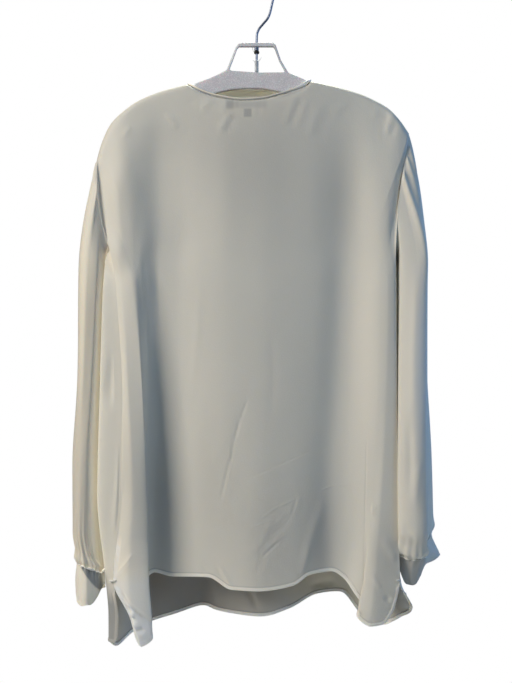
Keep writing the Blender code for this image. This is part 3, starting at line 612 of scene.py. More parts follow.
IVORY = (0.84, 0.80, 0.715)
DULLER = tuple(c * 0.93 for c in IVORY)     # the darker end of the cloth's own drift
CREAMY = (0.97, 0.895, 0.775, 1)      # painted light coming through the silk
WHITE_DOUBLE_AND_LIT = (0.97, 0.965, 0.935, 1)       # where it lies double, and painted light
DEEP = (*(c * k for c, k in zip(IVORY, (0.46, 0.49, 0.545))), 1)     # painted shade at its darkest


def silk_finish(name, behind=(), lines=()):
    """Ivory silk crepe: a warm off-white with a matt bloom, soft sheen and a fine pebbled weave.

    behind lists painted shadows of what is sewn inside the cloth, each a darker rectangle: its left, right,
    top and bottom in millimetres, how soft its edge is, and how dark it is. lines are pressed in.
    """
    made, tree, shader = finish(name, {
        "Subsurface Weight": 0.25, "Subsurface Radius": (1.0, 0.75, 0.45), "Subsurface Scale": 0.0012,
        "Specular IOR Level": 0.28, "Sheen Weight": 0.18, "Sheen Roughness": 0.45,
        "Sheen Tint": (1.0, 0.97, 0.90, 1)})
    # The tone attribute carries the painted light and painted shade.
    tone = tree.named("tone")
    drift = tree.grain(9.0, 2.0)
    pebble = tree.grain(1500.0, 2.0)
    shadow = (tone * -1.0).clamped()
    x = tree.node("ShaderNodeSeparateXYZ", {}, {0: tree.place()}, output=0) * 1000.0
    down = tree.node("ShaderNodeSeparateXYZ", {}, {0: tree.place()}, output=2) * -1000.0
    for left, right, upper, lower, soft, depth in behind:
        inside = depth
        for room in (x - left, right - x, down - upper, lower - down):
            inside = (room * (1 / soft) + 0.5).clamped() * inside
        shadow = (shadow + inside).clamped()
    cloth = (drift * 0.5 + pebble * 0.5).clamped().blend((*DULLER, 1), (*IVORY, 1))
    lit = (tone - 1.0).clamped().blend(tone.clamped().blend(cloth, CREAMY), WHITE_DOUBLE_AND_LIT)
    warp = tree.grain(700.0, 1.0, (1.0, 1.0, 0.35))
    weft = tree.grain(700.0, 1.0, (0.35, 1.0, 1.0))
    surface = tree.bump(warp + weft + pebble, 0.00018, 0.55)
    if lines:
        surface = tree.bump(sum(pressed(x, down, line) for line in lines), MM, over=surface)
    feed(shader, shadow.blend(lit, DEEP), 0.44 + drift * 0.10, surface)
    return made


PRESSED_LINES = (
    # x, down at both ends, half width, height
    (-13, 636, -25, 670, 4.6, -0.36), (-24, 664, -33, 700, 4.6, -0.42), (-33, 694, -38, 730, 4.6, -0.22),
    (-37, 718, -54, 788, 5.0, -0.40), (-17, 756, 30, 736, 3.0, -0.16), (22, 739, 85, 712, 3.0, -0.20),
    (92, 775, 116, 766, 2.4, 0.30), (110, 767, 141, 767, 2.4, 0.22), (5, 814, 34, 794, 3.4, 0.20),
    (28, 798, 60, 784, 3.4, 0.20), (-22, 830, 29, 814, 3.0, 0.16), (51, 812, 60, 780, 4.2, -0.28),
    (6, 872, 36, 844, 4.2, -0.50), (-190, 861, -159, 864, 2.4, 0.28), (-206, 893, -180, 862, 3.4, 0.50),
    (163, 694, 158, 925, 2.0, -0.25))
silk = silk_finish("ivory silk crepe")
# Painted shadows on the back's cloth at the neck, of what is sewn behind it: the label, its left end and its
# fold, and the size tab.
LABEL_SHADOWS = ((-45, 15, 193, 205, 5.0, 0.20), (-46, -34, 192, 207, 4.0, 0.26),
               (-32, -27, 193, 205, 3.0, 0.12), (-19, -7.5, 206.5, 218.5, 2.6, 0.46))
labelled_silk = silk_finish("ivory silk crepe over the label", LABEL_SHADOWS, PRESSED_LINES)
EDGE_NUMBERS = np.array([0.015, 0.03, 0.05, 0.08, 0.12, 0.17, 0.22, 0.28])     # columns near a side edge


def whole_panel(panel, folds, corners, upper, per_fold, rows_between, soft, corner_rounds):
    """The panel's fine grid, its fold-line numbers, and each point's distance from hem and vents.

    It has so many columns to a fold line, more at the neck and close together at its side edges. The
    hem rises to each side edge as a quarter round: over so many fold lines, by so much.
    """
    last = len(folds) - 1
    neck_from, neck_to = corners[2] - 2, corners[3]
    numbers = np.unique(np.concatenate([
        np.linspace(0, last, last * per_fold + 1),
        np.linspace(neck_from, neck_to, (neck_to - neck_from) * (per_fold + 6) + 1),
        EDGE_NUMBERS, last - EDGE_NUMBERS]))
    top = top_edge(panel, corners, numbers)
    hems = np.array([[row[1]] for row in folds], dtype=float)
    index = np.arange(len(folds), dtype=float)[:, None]
    hem = through(index, hems, numbers[:, None])[:, 0]
    for inward, (reach, rise) in zip((numbers, last - numbers), corner_rounds):
        hem -= rise * (1 - np.sqrt(1 - ramp(inward, reach, 0) ** 2))
    grid = panel_points(panel, numbers, top, folds, drops((hem - top[:, 2])[None, :], rows_between),
                        upper, soft)
    rim = [grid[-1]]
    rim_number = [numbers]
    for column in (0, -1):
        below = -grid[:, column, 2] > VENT_TOP
        rim.append(grid[below, column])
        rim_number.append(np.full(below.sum(), numbers[column]))
    rim, rim_number = np.vstack(rim), np.concatenate(rim_number)
    low = -grid[:, :, 2].max(axis=1) > VENT_TOP - 60
    near = np.full(grid.shape[:2], 1e3)
    near[low] = edge_distance(grid[low], rim, rim_number, numbers, 1.2)
    return grid, numbers, near


BACK_CREASES = (
    # kind, fold-line numbers it touches, half width, height, line of (x, down)
    ("ridge", 6.5, 10, 4.4, 1.0, ((-58, 246), (-49, 230), (-34, 207))),
    ("trough", 7, 10, 4.4, -0.6, ((-46, 244), (-38, 226), (-27, 208))),
    ("ridge", 7, 10, 3.4, 0.75, ((-54, 214), (-46, 204), (-38, 194))),
    ("trough", 7, 10, 2.6, -0.35, ((-46, 212), (-40, 204), (-34, 196))),
    ("ridge", 6, 9, 4.0, 0.9, ((-84, 210), (-74, 200), (-64, 190))),
    ("trough", 5, 9, 4.4, -0.45, ((-106, 198), (-92, 191), (-74, 188))),
    ("ridge", 4, 8, 5.0, 0.7, ((-138, 212), (-127, 221), (-117, 236))),
    ("ridge", 3, 7, 4.0, 0.8, ((-199, 250), (-193, 240), (-186, 230))),
    ("ridge", 8, 11, 2.8, 0.3, ((-4, 218), (-2, 206), (0, 196))),
    ("ridge", 8, 11, 2.8, 0.3, ((8, 216), (11, 204), (14, 194))),
    ("ridge", 9, 13, 5.5, 0.5, ((40, 234), (50, 208), (61, 182))),
    ("trough", 9, 13, 5.0, -0.35, ((47, 238), (58, 211), (69, 186))),
    ("ridge", 9, 14, 5.0, 0.35, ((58, 238), (68, 212), (78, 188))),
    ("ridge", 10, 14, 7.0, 0.5, ((76, 250), (87, 222), (97, 196))),
    ("trough", 10, 15, 8.0, -0.38, ((88, 256), (100, 226), (111, 198))),
    ("ridge", 11, 15, 6.0, 0.5, ((112, 216), (124, 204), (138, 196))),
    ("ridge", 13, 17, 3.6, 0.6, ((158, 221), (172, 214), (186, 210))),
    ("ridge", 13, 18, 4.4, 1.2, ((192, 246), (197, 228), (203, 210))),
    ("trough", 13, 18, 4.0, -0.8, ((199, 252), (204, 236), (210, 220))),
    ("trough", 8, 11, 6.0, -0.45, ((-9, 622), (-25, 667), (-32, 694), (-38, 726), (-46, 756), (-58, 796))),
    ("step", 4, 6, 3.0, 0.6, ((-172, 538), (-158, 526), (-148, 516))),
    ("ridge", 8, 12, 3.0, 0.4, ((-24, 766), (30, 742), (92, 712))),
    ("ridge", 10, 15, 2.6, 0.45, ((88, 784), (104, 774), (120, 772), (149, 770))),
    ("step", 9, 12, 8.0, 0.35, ((-14, 908), (14, 860), (40, 830), (66, 806))),
    ("ridge", 10, 12, 5.0, 0.3, ((50, 822), (60, 796), (66, 774))),
    ("ridge", 10, 13, 8.0, 1.3, ((60, 908), (79, 851), (92, 812), (104, 768))),
    ("trough", 8, 12, 5.0, -0.6, ((-6, 906), (14, 868), (56, 832))),
    ("ridge", 8, 12, 3.0, 0.4, ((-28, 840), (30, 820), (68, 784))),
    ("ridge", 8, 12, 4.0, 0.4, ((-30, 880), (6, 850), (30, 800))),
    ("ridge", 7, 10, 4.0, 0.35, ((-70, 820), (-40, 800), (-10, 790))),
    ("ridge", 6, 10, 5.0, 0.35, ((-90, 760), (-60, 720), (-40, 690))),
    ("ridge", 6, 9, 6.0, 0.4, ((-100, 640), (-90, 560), (-86, 480))),
    ("trough", 8, 11, 7.0, -0.35, ((20, 520), (26, 600), (20, 680))),
    ("step", 6, 9, 4.0, 0.8, ((-86, 888), (-72, 902), (-60, 914))),
    ("step", 7, 10, 4.4, -0.9, ((-60, 884), (-48, 902), (-38, 922))),
    ("ridge", 6, 9, 3.0, 0.6, ((-108, 882), (-94, 888), (-80, 894))),
    ("ridge", 10, 12, 4.0, 0.5, ((64, 906), (72, 880), (78, 850))),
    ("ridge", 0, 2, 2.6, 1.0, ((-196, 868), (-178, 869), (-158, 872))),
    ("ridge", 0, 2, 3.0, 1.1, ((-212, 906), (-196, 888), (-180, 870))),
    ("trough", 0, 2, 4.0, -0.7, ((-204, 880), (-194, 868), (-186, 852))),
    ("ridge", 0, 2, 3.4, 0.9, ((-199, 650), (-196, 735), (-203, 800))),
    ("step", 0, 2.4, 2.0, 1.5, ((-207, 905), (-203, 911), (-193, 932), (-172, 953), (-152, 966))),
    ("trough", 0, 2.2, 2.6, -2.0, ((-192, 944), (-187, 946), (-181, 949))),
    ("ridge", 0, 2.2, 2.4, 1.4, ((-190, 951), (-184, 953), (-178, 956))),
    ("trough", 0, 2.2, 2.8, -2.2, ((-188, 959), (-182, 960), (-176, 963))),
    ("ridge", 0, 2.2, 2.6, 1.6, ((-184, 967), (-177, 969), (-169, 972))),
    ("trough", 0, 2.2, 2.8, -1.8, ((-180, 976), (-173, 975), (-164, 975))),
    ("ridge", 0, 2.2, 2.8, 0.9, ((-176, 984), (-168, 984), (-160, 984))),
    ("ridge", 16, 19, 4.5, 1.6, ((168, 808), (172, 800), (176, 794))),
    ("ridge", 16, 19, 6.0, 1.6, ((184, 838), (196, 858), (206, 878))),
    ("ridge", 16, 19, 3.4, 0.9, ((168, 892), (176, 906), (184, 918))),
    ("trough", 16, 19, 5.0, -1.4, ((190, 936), (196, 926))),
    ("trough", 16, 19, 4.0, -1.2, ((166, 966), (174, 962))),
)

back_grid, back_numbers, back_near = whole_panel(
    "back", BACK_FOLDS, BACK_CORNERS, BACK_UPPER, per_fold=11, rows_between=132,
    soft=(4.6, 6.5, 14.5, 17.0), corner_rounds=((1.1, 12.0), (1.3, 11.0)))
back_normal = outward(back_grid, False)
back_down = -back_grid[:, :, 2]


def seam_pucker(grid, numbers):
    """Small waves across the left side seam above its vent, from -1 to 1, where its thread draws up.

    They are two sines over the height, under a bell across the seam and a ramp at each end.
    """
    down = -grid[:, :, 2]
    wave = 0.6 * np.sin(2 * math.pi * down / 9.0 + 0.4) + 0.4 * np.sin(2 * math.pi * down / 5.3)
    return (wave * bell(numbers, 0, 0.30)[None, :] * ramp(down, 838, 863)
            * ramp(down, VENT_TOP + 1, VENT_TOP - 3))


back_pucker = seam_pucker(back_grid, back_numbers)
relief = creases(back_grid, back_numbers, BACK_CREASES) + 0.4 * back_pucker
relief = relief * np.maximum(ramp(back_near, 2, 10), 0.15)
banded = np.maximum(ramp(back_numbers, 1.7, 2.2), 0.2)[None, :]     # the flap's own hem lies flatter
neck_sewn = (np.abs(back_numbers - 9.5) < 1.5)[None, :]
below_top = back_down - back_down[:1]
relief = relief + hem_band(back_near) * banded - 1.1 * bell(below_top, 0, 1.6) * neck_sewn
back_outer = back_grid + back_normal * relief[:, :, None]

# Painted shade where the back's own folds and the hanger's plate behind it shade the cloth, and painted
# light where light comes through: x, down, half width, half height, depth. Below nought it is lighter.
BACK_SHADES = (
    (0, 280, 95, 110, 0.30), (122, 330, 32, 90, 0.25), (20, 850, 42, 90, 0.30), (96, 850, 26, 90, 0.50),
    (-60, 800, 36, 110, 0.20), (-144, 830, 20, 130, 0.50), (-187, 745, 16, 60, 0.20),
    (164, 600, 20, 170, -0.70), (-158, 520, 14, 70, -0.80), (-84, 250, 40, 60, 0.12),
    (190, 870, 20, 60, 0.25), (168, 850, 14, 60, 0.15))
FACING_LINE = ((-203, 911), (-193, 932), (-172, 953), (-154, 964), (-150, 966))


def hem_shares(near):
    """Two shares by distance from the edge: 1 inside the turned hem, and a bell of painted shade in the
    groove along it.
    """
    return ramp(near, HEM_WIDTH, HEM_WIDTH - 0.8), bell(near, HEM_WIDTH + 0.3, 0.8)


# The back's tone: whiter where the cloth lies double (the turned hem, the facing, the flap and the seam
# tape), the hem's white partly painted light; then painted shade and light from BACK_SHADES, painted shade
# in the hem's groove, and painted shadow under the binding towards its right end.
in_hem, groove_shade = hem_shares(back_near)
facing_top = np.interp(back_grid[:, :, 0], *np.transpose(FACING_LINE))
facing = ramp(back_down, facing_top - 0.75, facing_top + 0.75) * (back_numbers < 2.4)[None, :]
doubled = ramp(back_numbers, 2.3, 2.0)[None, :] * ramp(back_down, 840, 910)
seam_tape = (ramp(back_grid[:, :, 0] - back_grid[:, :1, 0], 7.5, 6.0) * ramp(back_down, 836, 856)
             * (back_down < VENT_TOP + 1) * (0.8 + 0.2 * back_pucker))
back_tone = np.maximum.reduce([1.35 * in_hem, 2.0 * facing, 1.5 * doubled, 1.9 * seam_tape])
for x, down, wide, high, depth in BACK_SHADES:
    patch = bell(back_grid[:, :, 0], x, wide) * bell(back_down, down, high)
    back_tone = back_tone - depth * patch * (back_near > HEM_WIDTH)
shade_under_binding = bell(below_top, 2.5, 3.5) * ramp(back_grid[:, :, 0], 22, 47)
back_tone = back_tone - 0.5 * groove_shade * banded - 0.5 * shade_under_binding * (back_numbers < 11.02)[None, :]
back = put("back_silk", shell(back_outer, SILK_WALL + 0.5 * (back_near < HEM_WIDTH), False, tone=back_tone),
           labelled_silk, ["back_panel"])


# ---- The front: cut like the back and a little wider, so that it comes round the left edge to the ----
# near side seam. It is sewn to the back down both sides as far as the vents.

FRONT_FOLDS = (
    ("side_seam_left", 1004, (-213, -209, -199, -200, -212, -206, -210),
     (-14, -18, -26, -30, -28, -23, -18)),
    ("edge_left", 998, (-228, -230, -234, -237, -225, -221, -221), (-5, -9, -14, -17, -14, -11, -10)),
    ("wrap_left", 1009, (-220, -221, -222, -223, -215, -211, -210), (13, 12, 15, 17, 10, 7, 5)),
    ("side_left", 996, (-201, -196, -196, -198, -194, -192, -190), (19, 21, 28, 34, 34, 32, 30)),
    ("ridge_left", 982, (-169, -163, -164, -166, -164, -163, -162), (22, 25, 36, 44, 47, 47, 47)),
    ("valley_left", 969, (-129, -126, -128, -128, -127, -127, -127), (19, 21, 29, 35, 38, 38, 38)),
    ("rise_left", 958, (-85, -84, -84, -83, -83, -83, -83), (22, 24, 36, 46, 52, 52, 52)),
    ("middle_left", 964, (-43, -42, -44, -50, -58, -61, -62), (23, 25, 33, 40, 44, 44, 44)),
    ("middle", 972, (4, 5, 5, 5, 5, 5, 5), (22, 23, 29, 34, 36, 36, 36)),
    ("middle_right", 961, (50, 48, 49, 50, 50, 50, 50), (20, 22, 30, 38, 42, 42, 42)),
    ("ridge_right", 941, (91, 90, 91, 92, 92, 92, 92), (20, 22, 34, 46, 54, 54, 54)),
    ("slope_right", 935, (129, 128, 128, 128, 128, 128, 128), (19, 21, 30, 38, 42, 42, 42)),
    ("valley_right", 968, (163, 160, 160, 160, 160, 160, 160), (18, 19, 27, 34, 36, 36, 36)),
    ("side_right", 982, (185, 182, 184, 186, 190, 191, 191), (19, 18, 23, 27, 28, 27, 26)),
    ("wrap_right", 973, (199, 198, 201, 205, 210, 209, 208), (15, 13, 15, 18, 18, 15, 13)),
    ("edge_right", 965, (207.5, 208, 208.5, 209.5, 212, 221, 225), (5, 3, 3, 3, 3, 10, 15)),
    ("side_seam_right", 959, (206, 206, 207, 208.5, 212.5, 237, 240), (-25, -27, -29, -29, -27, 2, 10)),
)
FRONT_CORNERS = (0, 4, 7, 9, 12, 16)
FRONT_UPPER = (
    (190, 235, 280, 340, 400, 460),
    (-246, -226, -200, -166, -128, -84, -42, 4, 50, 91, 128, 162, 184, 200, 232),
    ((4, 7, 9, 10, 11, 13, 15, 16, 14, 12, 11, 10, 9, 8, 5),
     (5, 10, 13, 13, 13, 15, 17, 17, 16, 14, 13, 12, 11, 10, 7),
     (10, 13, 15, 16, 14, 17, 19, 18, 17, 16, 14, 14, 13, 13, 11),
     (17, 17, 18, 19, 16, 19, 21, 20, 18, 18, 16, 16, 17, 18, 14),
     (2, 8, 18, 21, 18, 21, 22, 21, 19, 19, 18, 17, 18, 15, 5),
     (1, 7, 19, 23, 20, 23, 23.5, 22.5, 20.5, 20.5, 19.5, 18.5, 18.5, 14, 4)),
)

front_grid, front_numbers, front_near = whole_panel(
    "front", FRONT_FOLDS, FRONT_CORNERS, FRONT_UPPER, per_fold=11, rows_between=120,
    soft=(3.5, 5.0, 12.5, 14.0), corner_rounds=((0.9, 11.0), (0.8, 14.0)))


def sew_side(column, back_column, gap):
    """Lays the front's side-seam edge on the back's, at the same heights down to the vent."""
    down = -front_grid[:, column, 2]
    edge = back_grid[:, back_column]
    sewn = np.stack([np.interp(down, -edge[:, 2], edge[:, k]) for k in range(2)], axis=1)
    hold = ramp(down, VENT_TOP + 20, VENT_TOP)[:, None]
    front_grid[:, column, :2] = sewn * hold + front_grid[:, column, :2] * (1 - hold) + gap


sew_side(0, 0, (0.8, 0.5))
sew_side(-1, -1, (0.0, 0.5))
FRONT_CREASES = (
    ("trough", 0.3, 3, 9.0, -2.6, ((-204, 560), (-214, 600), (-219, 630), (-212, 655))),
    ("ridge", 0.1, 1.2, 4.5, 1.5, ((-201, 690), (-202, 740), (-208, 800), (-212, 850))),
    ("ridge", 5, 8.6, 6.5, 1.3, ((-62, 962), (-70, 930), (-84, 900))),
    ("ridge", 6, 9.6, 5.0, 2.0, ((4, 968), (-8, 940), (-24, 915))),
    ("ridge", 9, 12, 5.0, 2.4, ((80, 930), (104, 925), (124, 918))),
    ("ridge", 6, 9, 6.0, 1.5, ((-30, 260), (-36, 330), (-30, 420))),
    ("ridge", 8, 11, 7.0, 1.8, ((50, 250), (62, 330), (58, 440))),
)
front_normal = outward(front_grid, True)
front_down = -front_grid[:, :, 2]
relief = creases(front_grid, front_numbers, FRONT_CREASES) + 0.4 * seam_pucker(front_grid, front_numbers)
relief = relief * np.maximum(ramp(front_near, 2, 10), 0.15) + hem_band(front_near)
front_outer = front_grid + front_normal * relief[:, :, None]

# Painted shade: it is darker at the vent, beside the sleeve, in the groove along its hem, and all along its
# inner face behind the back's hem, most at that face's right corner. Its turned hem is whiter, where it lies
# double and as painted light.
SHADE_BESIDE_SLEEVE = ((250, 290, 420, 520, 640), (0, 0.42, 0.42, 0.35, 0.10))       # heights, depth
INSIDE_SHADE = ((1.9, 2.1, 3.5, 6, 8, 10, 12), (0, 0.35, 1.0, 0.95, 0.62, 0.1, 0))   # fold lines, depth
in_hem, groove_shade = hem_shares(front_near)
shade_at_vent = (front_numbers < 1.5)[None, :] * ramp(front_down, 905, 945)
shade_beside_sleeve = bell(front_numbers, 1.0, 0.7)[None, :] * np.interp(front_down, *SHADE_BESIDE_SLEEVE)
front_tone = (np.interp(front_numbers, (1.4, 1.8), (0.3, 1.5)) * in_hem
              - shade_at_vent - 0.5 * groove_shade - shade_beside_sleeve)
shaded = np.interp(front_numbers, *INSIDE_SHADE)[None, :] * ramp(front_down, 840, 890)
corner_shade = ramp(front_down, 870, 910) * (1 - 0.6 * ramp(front_down, 935, 965))
front_inside = (1.9 * in_hem - shaded * (front_near > HEM_WIDTH)
                - 1.1 * (front_numbers > 12.6)[None, :] * corner_shade - 0.5 * groove_shade)
front = put("front_silk", shell(front_outer, SILK_WALL + 0.9 * (front_near < HEM_WIDTH), True,
                                tone=front_tone, tone_inside=front_inside),
            silk, ["front_panel"])


# ---- The sleeves: long and full, pleated into the armhole at the head and gathered at the wrist. ----
# Each is one tube with its seam on the inner side, and hangs straight down from the hanger's end.

SLEEVE_HEIGHTS = (440, 600, 740, 830)
# Fold lines round each sleeve from its outer side: name, x and y at each height, then the seam with
# the cuff and the cuff's own edge, both as x, y, down.
SLEEVE_FOLDS = {
    "left": (
        ("outer", (-264, -267, -276, -275), (2, 4, 5, 5), (-267, 3, 878), (-273, 4, 926)),
        ("near_outer", (-259, -262, -269, -270), (-22, -27, -33, -34), (-262, -20, 880), (-266, -18, 940)),
        ("near", (-246, -253, -258, -259), (-30, -37, -44, -47), (-252, -33, 884), (-252, -29, 942)),
        ("near_inner", (-234, -241, -247, -247), (-28, -35, -41, -43), (-240, -20, 892), (-239, -20, 936)),
        ("inner", (-231, -238, -242, -240), (-1, 2, 4, 4), (-235, 2, 899), (-230, 3, 917)),
        ("far_inner", (-223, -230, -235, -234), (21, 30, 36, 38), (-233, 30, 894), (-232, 31, 928)),
        ("far", (-245, -250, -255, -256), (40, 58, 72, 74), (-251, 52, 886), (-251, 54, 936)),
        ("far_outer", (-259, -265, -271, -271), (26, 34, 40, 42), (-263, 32, 880), (-265, 33, 938)),
    ),
    "right": (
        ("outer", (250, 248, 249, 250), (3, 6, 6, 6), (249, 6, 866), (257, 8, 886)),
        ("near_outer", (252, 252, 251, 252), (-27, -34, -40, -41), (249, -15, 871), (244, -6, 904)),
        ("near", (237, 234, 232, 233), (-34, -44, -50, -50), (233, -24, 874), (231, -8, 916)),
        ("near_inner", (210.5, 208.5, 207, 208), (-25, -31, -36, -36), (212, -13, 866), (218, -5, 908)),
        ("inner", (209.5, 210.5, 211.5, 213), (-3, -3, -4, -4), (214, 0, 862), (215, 2, 893)),
        ("far_inner", (210, 209, 210, 212), (22, 30, 36, 38), (222, 32, 846), (232, 36, 884)),
        ("far", (231, 238, 244, 247), (44, 58, 72, 74), (251, 54, 836), (270, 60, 880)),
        ("far_outer", (251, 261, 270, 272), (26, 32, 37, 38), (265, 32, 843), (281, 36, 879)),
    ),
}
# Pleats at the head: start round the armhole, drift round, length down, height out, half width.
HEAD_PLEATS = {
    "left": ((0.085, -0.02, 120, 3.0, 0.030), (0.21, 0.01, 90, 2.4, 0.03), (0.80, 0.0, 110, 2.6, 0.032),
             (0.92, 0.0, 120, 2.8, 0.032)),
    "right": ((0.075, -0.01, 130, 4.0, 0.026), (0.13, -0.03, 90, 2.8, 0.018), (0.21, -0.06, 190, 5.2, 0.026),
              (0.80, 0.03, 120, 2.8, 0.032), (0.92, 0.0, 120, 2.8, 0.032)),
}
HEAD_FULLNESS = {"left": (3.5, 110.0), "right": (5.5, 55.0)}
GATHERS = 19
GATHER_HEIGHT = {"left": 3.3, "right": 1.5}
GATHER_REACH = {"left": 26.0, "right": 15.0}
CUFF_OVERHANG = {"left": 4.6, "right": 6.0}     # how far the sleeve bulges out above its cuff
ROUND_COUNT = 176
SLEEVE_ROWS = 150


def round_curve(table, around):
    """Smooth closed curves through evenly spaced fold lines, at shares around from 0 to 1."""
    closed = np.vstack([table[-2:], table, table[:3]])
    index = np.arange(-2, len(table) + 3, dtype=float)[:, None] + np.zeros(closed.shape)
    return through(index, closed, around[:, None] * len(table) + np.zeros((1, closed.shape[1])))


def gather_wave(around, seed):
    """An uneven wave round the wrist: GATHERS gathers, some deeper and some closer than others."""
    draw = np.random.default_rng(seed)
    wave = np.zeros_like(around)
    for extra, share in ((0, 1.0), (5, 0.45), (-6, 0.4)):
        wave += share * np.cos(2 * math.pi * (GATHERS + extra) * around + draw.uniform(0, 6.28))
    return wave / 1.5


SLEEVE_CREASES = {
    "left": (
        ("trough", 0.05, 0.45, 6.0, -1.6, ((-238, 300), (-244, 318), (-256, 350), (-260, 380))),
        ("ridge", 0.05, 0.45, 7.0, 1.6, ((-252, 420), (-254, 560), (-262, 700))),
        ("trough", 0.1, 0.45, 7.0, -0.9, ((-244, 480), (-252, 600), (-262, 720), (-262, 800))),
    ),
    "right": (
        ("ridge", 0.05, 0.45, 6.0, 1.0, ((236, 420), (230, 560), (228, 700))),
        ("ridge", 0.05, 0.45, 6.0, 1.3, ((238, 720), (232, 770), (230, 800))),
        ("trough", 0.05, 0.45, 5.0, -1.2, ((222, 660), (224, 720), (222, 780))),
        ("trough", 0.05, 0.45, 6.0, -1.6, ((216, 820), (224, 838), (238, 850))),
    ),
}


def sleeve_grid(side, around, seed):
    """The sleeve's outer face: smooth curves between its rings, then pleats, fullness and gathers."""
    sign = -1.0 if side == "left" else 1.0
    lean = np.cos(2 * math.pi * around)
    top = along(ARMHOLE[side], around) + (0.1 * sign, 0, 0.1)
    table = np.array([(*xs, *ys, *seam) for _, xs, ys, seam, _ in SLEEVE_FOLDS[side]], dtype=float)
    fine = round_curve(table, around)
    count = len(SLEEVE_HEIGHTS)
    even = np.linspace(0, 1, SLEEVE_ROWS + 1)
    share = (0.6 * even + 0.4 * (1 - np.cos(math.pi * even)) / 2)[:, None]
    end = fine[:, -1]
    heights = top[None, :, 2] + share * (end - top[:, 2])[None, :]
    knots = np.vstack([top[None, :, 2]] + [np.full((1, len(around)), float(h)) for h in SLEEVE_HEIGHTS]
                      + [end[None, :]])
    x = through(knots, np.vstack([top[None, :, 0], fine[:, :count].T, fine[None, :, -3]]), heights)
    y = through(knots, np.vstack([top[None, :, 1], fine[:, count:2 * count].T, fine[None, :, -2]]), heights)
    below = heights - top[None, :, 2]
    above = end[None, :] - heights
    near_end = ramp(np.minimum(below, above), 0, 30)
    for _ in range(36):
        x += ((np.roll(x, 1, axis=1) + np.roll(x, -1, axis=1)) / 2 - x) * 0.5 * near_end
        y += ((np.roll(y, 1, axis=1) + np.roll(y, -1, axis=1)) / 2 - y) * 0.5 * near_end
    grid = np.stack([x, y, -heights], axis=2)
    relief = creases(grid, around, SLEEVE_CREASES[side])
    for start, drift, length, height, width in HEAD_PLEATS[side]:
        off = (around[None, :] - start - drift * below / length + 0.5) % 1.0 - 0.5
        spread = width * (0.75 + 0.7 * below / length)
        relief += height * ramp(below, 0, 5) * ramp(below, length, 0) * bell(off, 0, spread)
    puff, reach = HEAD_FULLNESS[side]
    relief += puff * np.maximum(lean, 0)[None, :] * (below / reach) * np.exp(1 - below / reach)
    relief += (GATHER_HEIGHT[side] * gather_wave(around, seed)[None, :] * np.exp(-above / GATHER_REACH[side])
               * np.clip(above / 3, 0.35, 1))
    near_side = 0.25 + 0.75 * np.clip(np.cos(2 * math.pi * (around - 0.25)) * 1.5 + 0.3, 0, 1)[None, :]
    relief += CUFF_OVERHANG[side] * bell(above, 9, 8) * near_side
    return grid + outward(grid, side == "right", closed=True) * relief[:, :, None]


def sleeve_tone(side, down):
    """Painted shade and light, as bells round the sleeve and over its height: darker by the body and low on
    the left sleeve's near side, and creamier and whiter, as painted light passing through, on the right
    sleeve's near and far sides.
    """
    if side == "left":
        return (-0.35 * bell(around, 0.46, 0.09) * np.interp(down, (270, 330, 560, 700), (0, 1, 0.6, 0))
                - 0.28 * bell(around, 0.19, 0.09) * np.interp(down, (560, 720, 830, 870), (0, 1, 1, 0)))
    return 1.8 * bell(around, 0.20, 0.10) * bell(down, 590, 210) + 1.2 * bell(around, 0.80, 0.16)


around = np.arange(ROUND_COUNT) / ROUND_COUNT
sleeves, sleeve_pieces = {}, {}
for side, seed in (("left", 3), ("right", 8)):
    grid = sleeves[side] = sleeve_grid(side, around, seed)
    mesh = shell(grid, SILK_WALL, side == "right", closed=True, tone=sleeve_tone(side, -grid[:, :, 2]))
    sleeve_pieces[side] = put(f"sleeve_silk_{side}", mesh, silk, [f"sleeve_{side}"])
# The silk lets so much light through that the cloth beside the left sleeve stays bright.
sleeve_pieces["left"].visible_shadow = False


# ---- The cuffs: deep bands of silk under the gathers, closed round the wrist. Each is cut double, ----
# folded at its lower edge and stitched just over that fold.

CUFF_ROWS = 30
CUFF_WALL = 1.1           # two layers and their turnings
CUFF_GAP = 0.15           # between the sleeve's last ring and the cuff


def cuff_grid(side, seam):
    """The cuff's outer face: straight down from the sleeve's last ring to its own edge, a little full."""
    edge = round_curve(np.array([fold[-1] for fold in SLEEVE_FOLDS[side]], dtype=float), around)
    edge *= np.array([1, 1, -1])
    for _ in range(60):
        edge[:, :2] = (np.roll(edge, 1, axis=0) + 2 * edge + np.roll(edge, -1, axis=0))[:, :2] / 4
    edge[:, 2] += 0.8 * np.sin(2 * math.pi * 5 * around) + 0.5 * np.sin(2 * math.pi * 8 * around + 1)
    share = np.linspace(0, 1, CUFF_ROWS + 1)[:, None]
    smooth_seam = seam.copy()
    for _ in range(30):
        smooth_seam = (np.roll(smooth_seam, 1, axis=0) + smooth_seam + np.roll(smooth_seam, -1, axis=0)) / 3
    hold = ramp(share, 0, 0.25)[:, :, None]
    upper = seam * (1 - hold) + smooth_seam * hold
    grid = upper * (1 - share[:, :, None]) + edge * share[:, :, None]
    ruck = 0.9 * gather_wave(around, 11)[None, :] * np.exp(-share / 0.45)
    sway = 1.3 * np.sin(2 * math.pi * (3 * around[None, :] + 0.6 * share)) * share
    full = 0.5 + 0.9 * np.sin(math.pi * share) + (ruck + sway) * ramp(share, 0, 0.08)
    stitched = 0.5 * bell(share, 0.90, 0.03)
    return grid + outward(grid, side == "right", closed=True) * (full - stitched)[:, :, None]


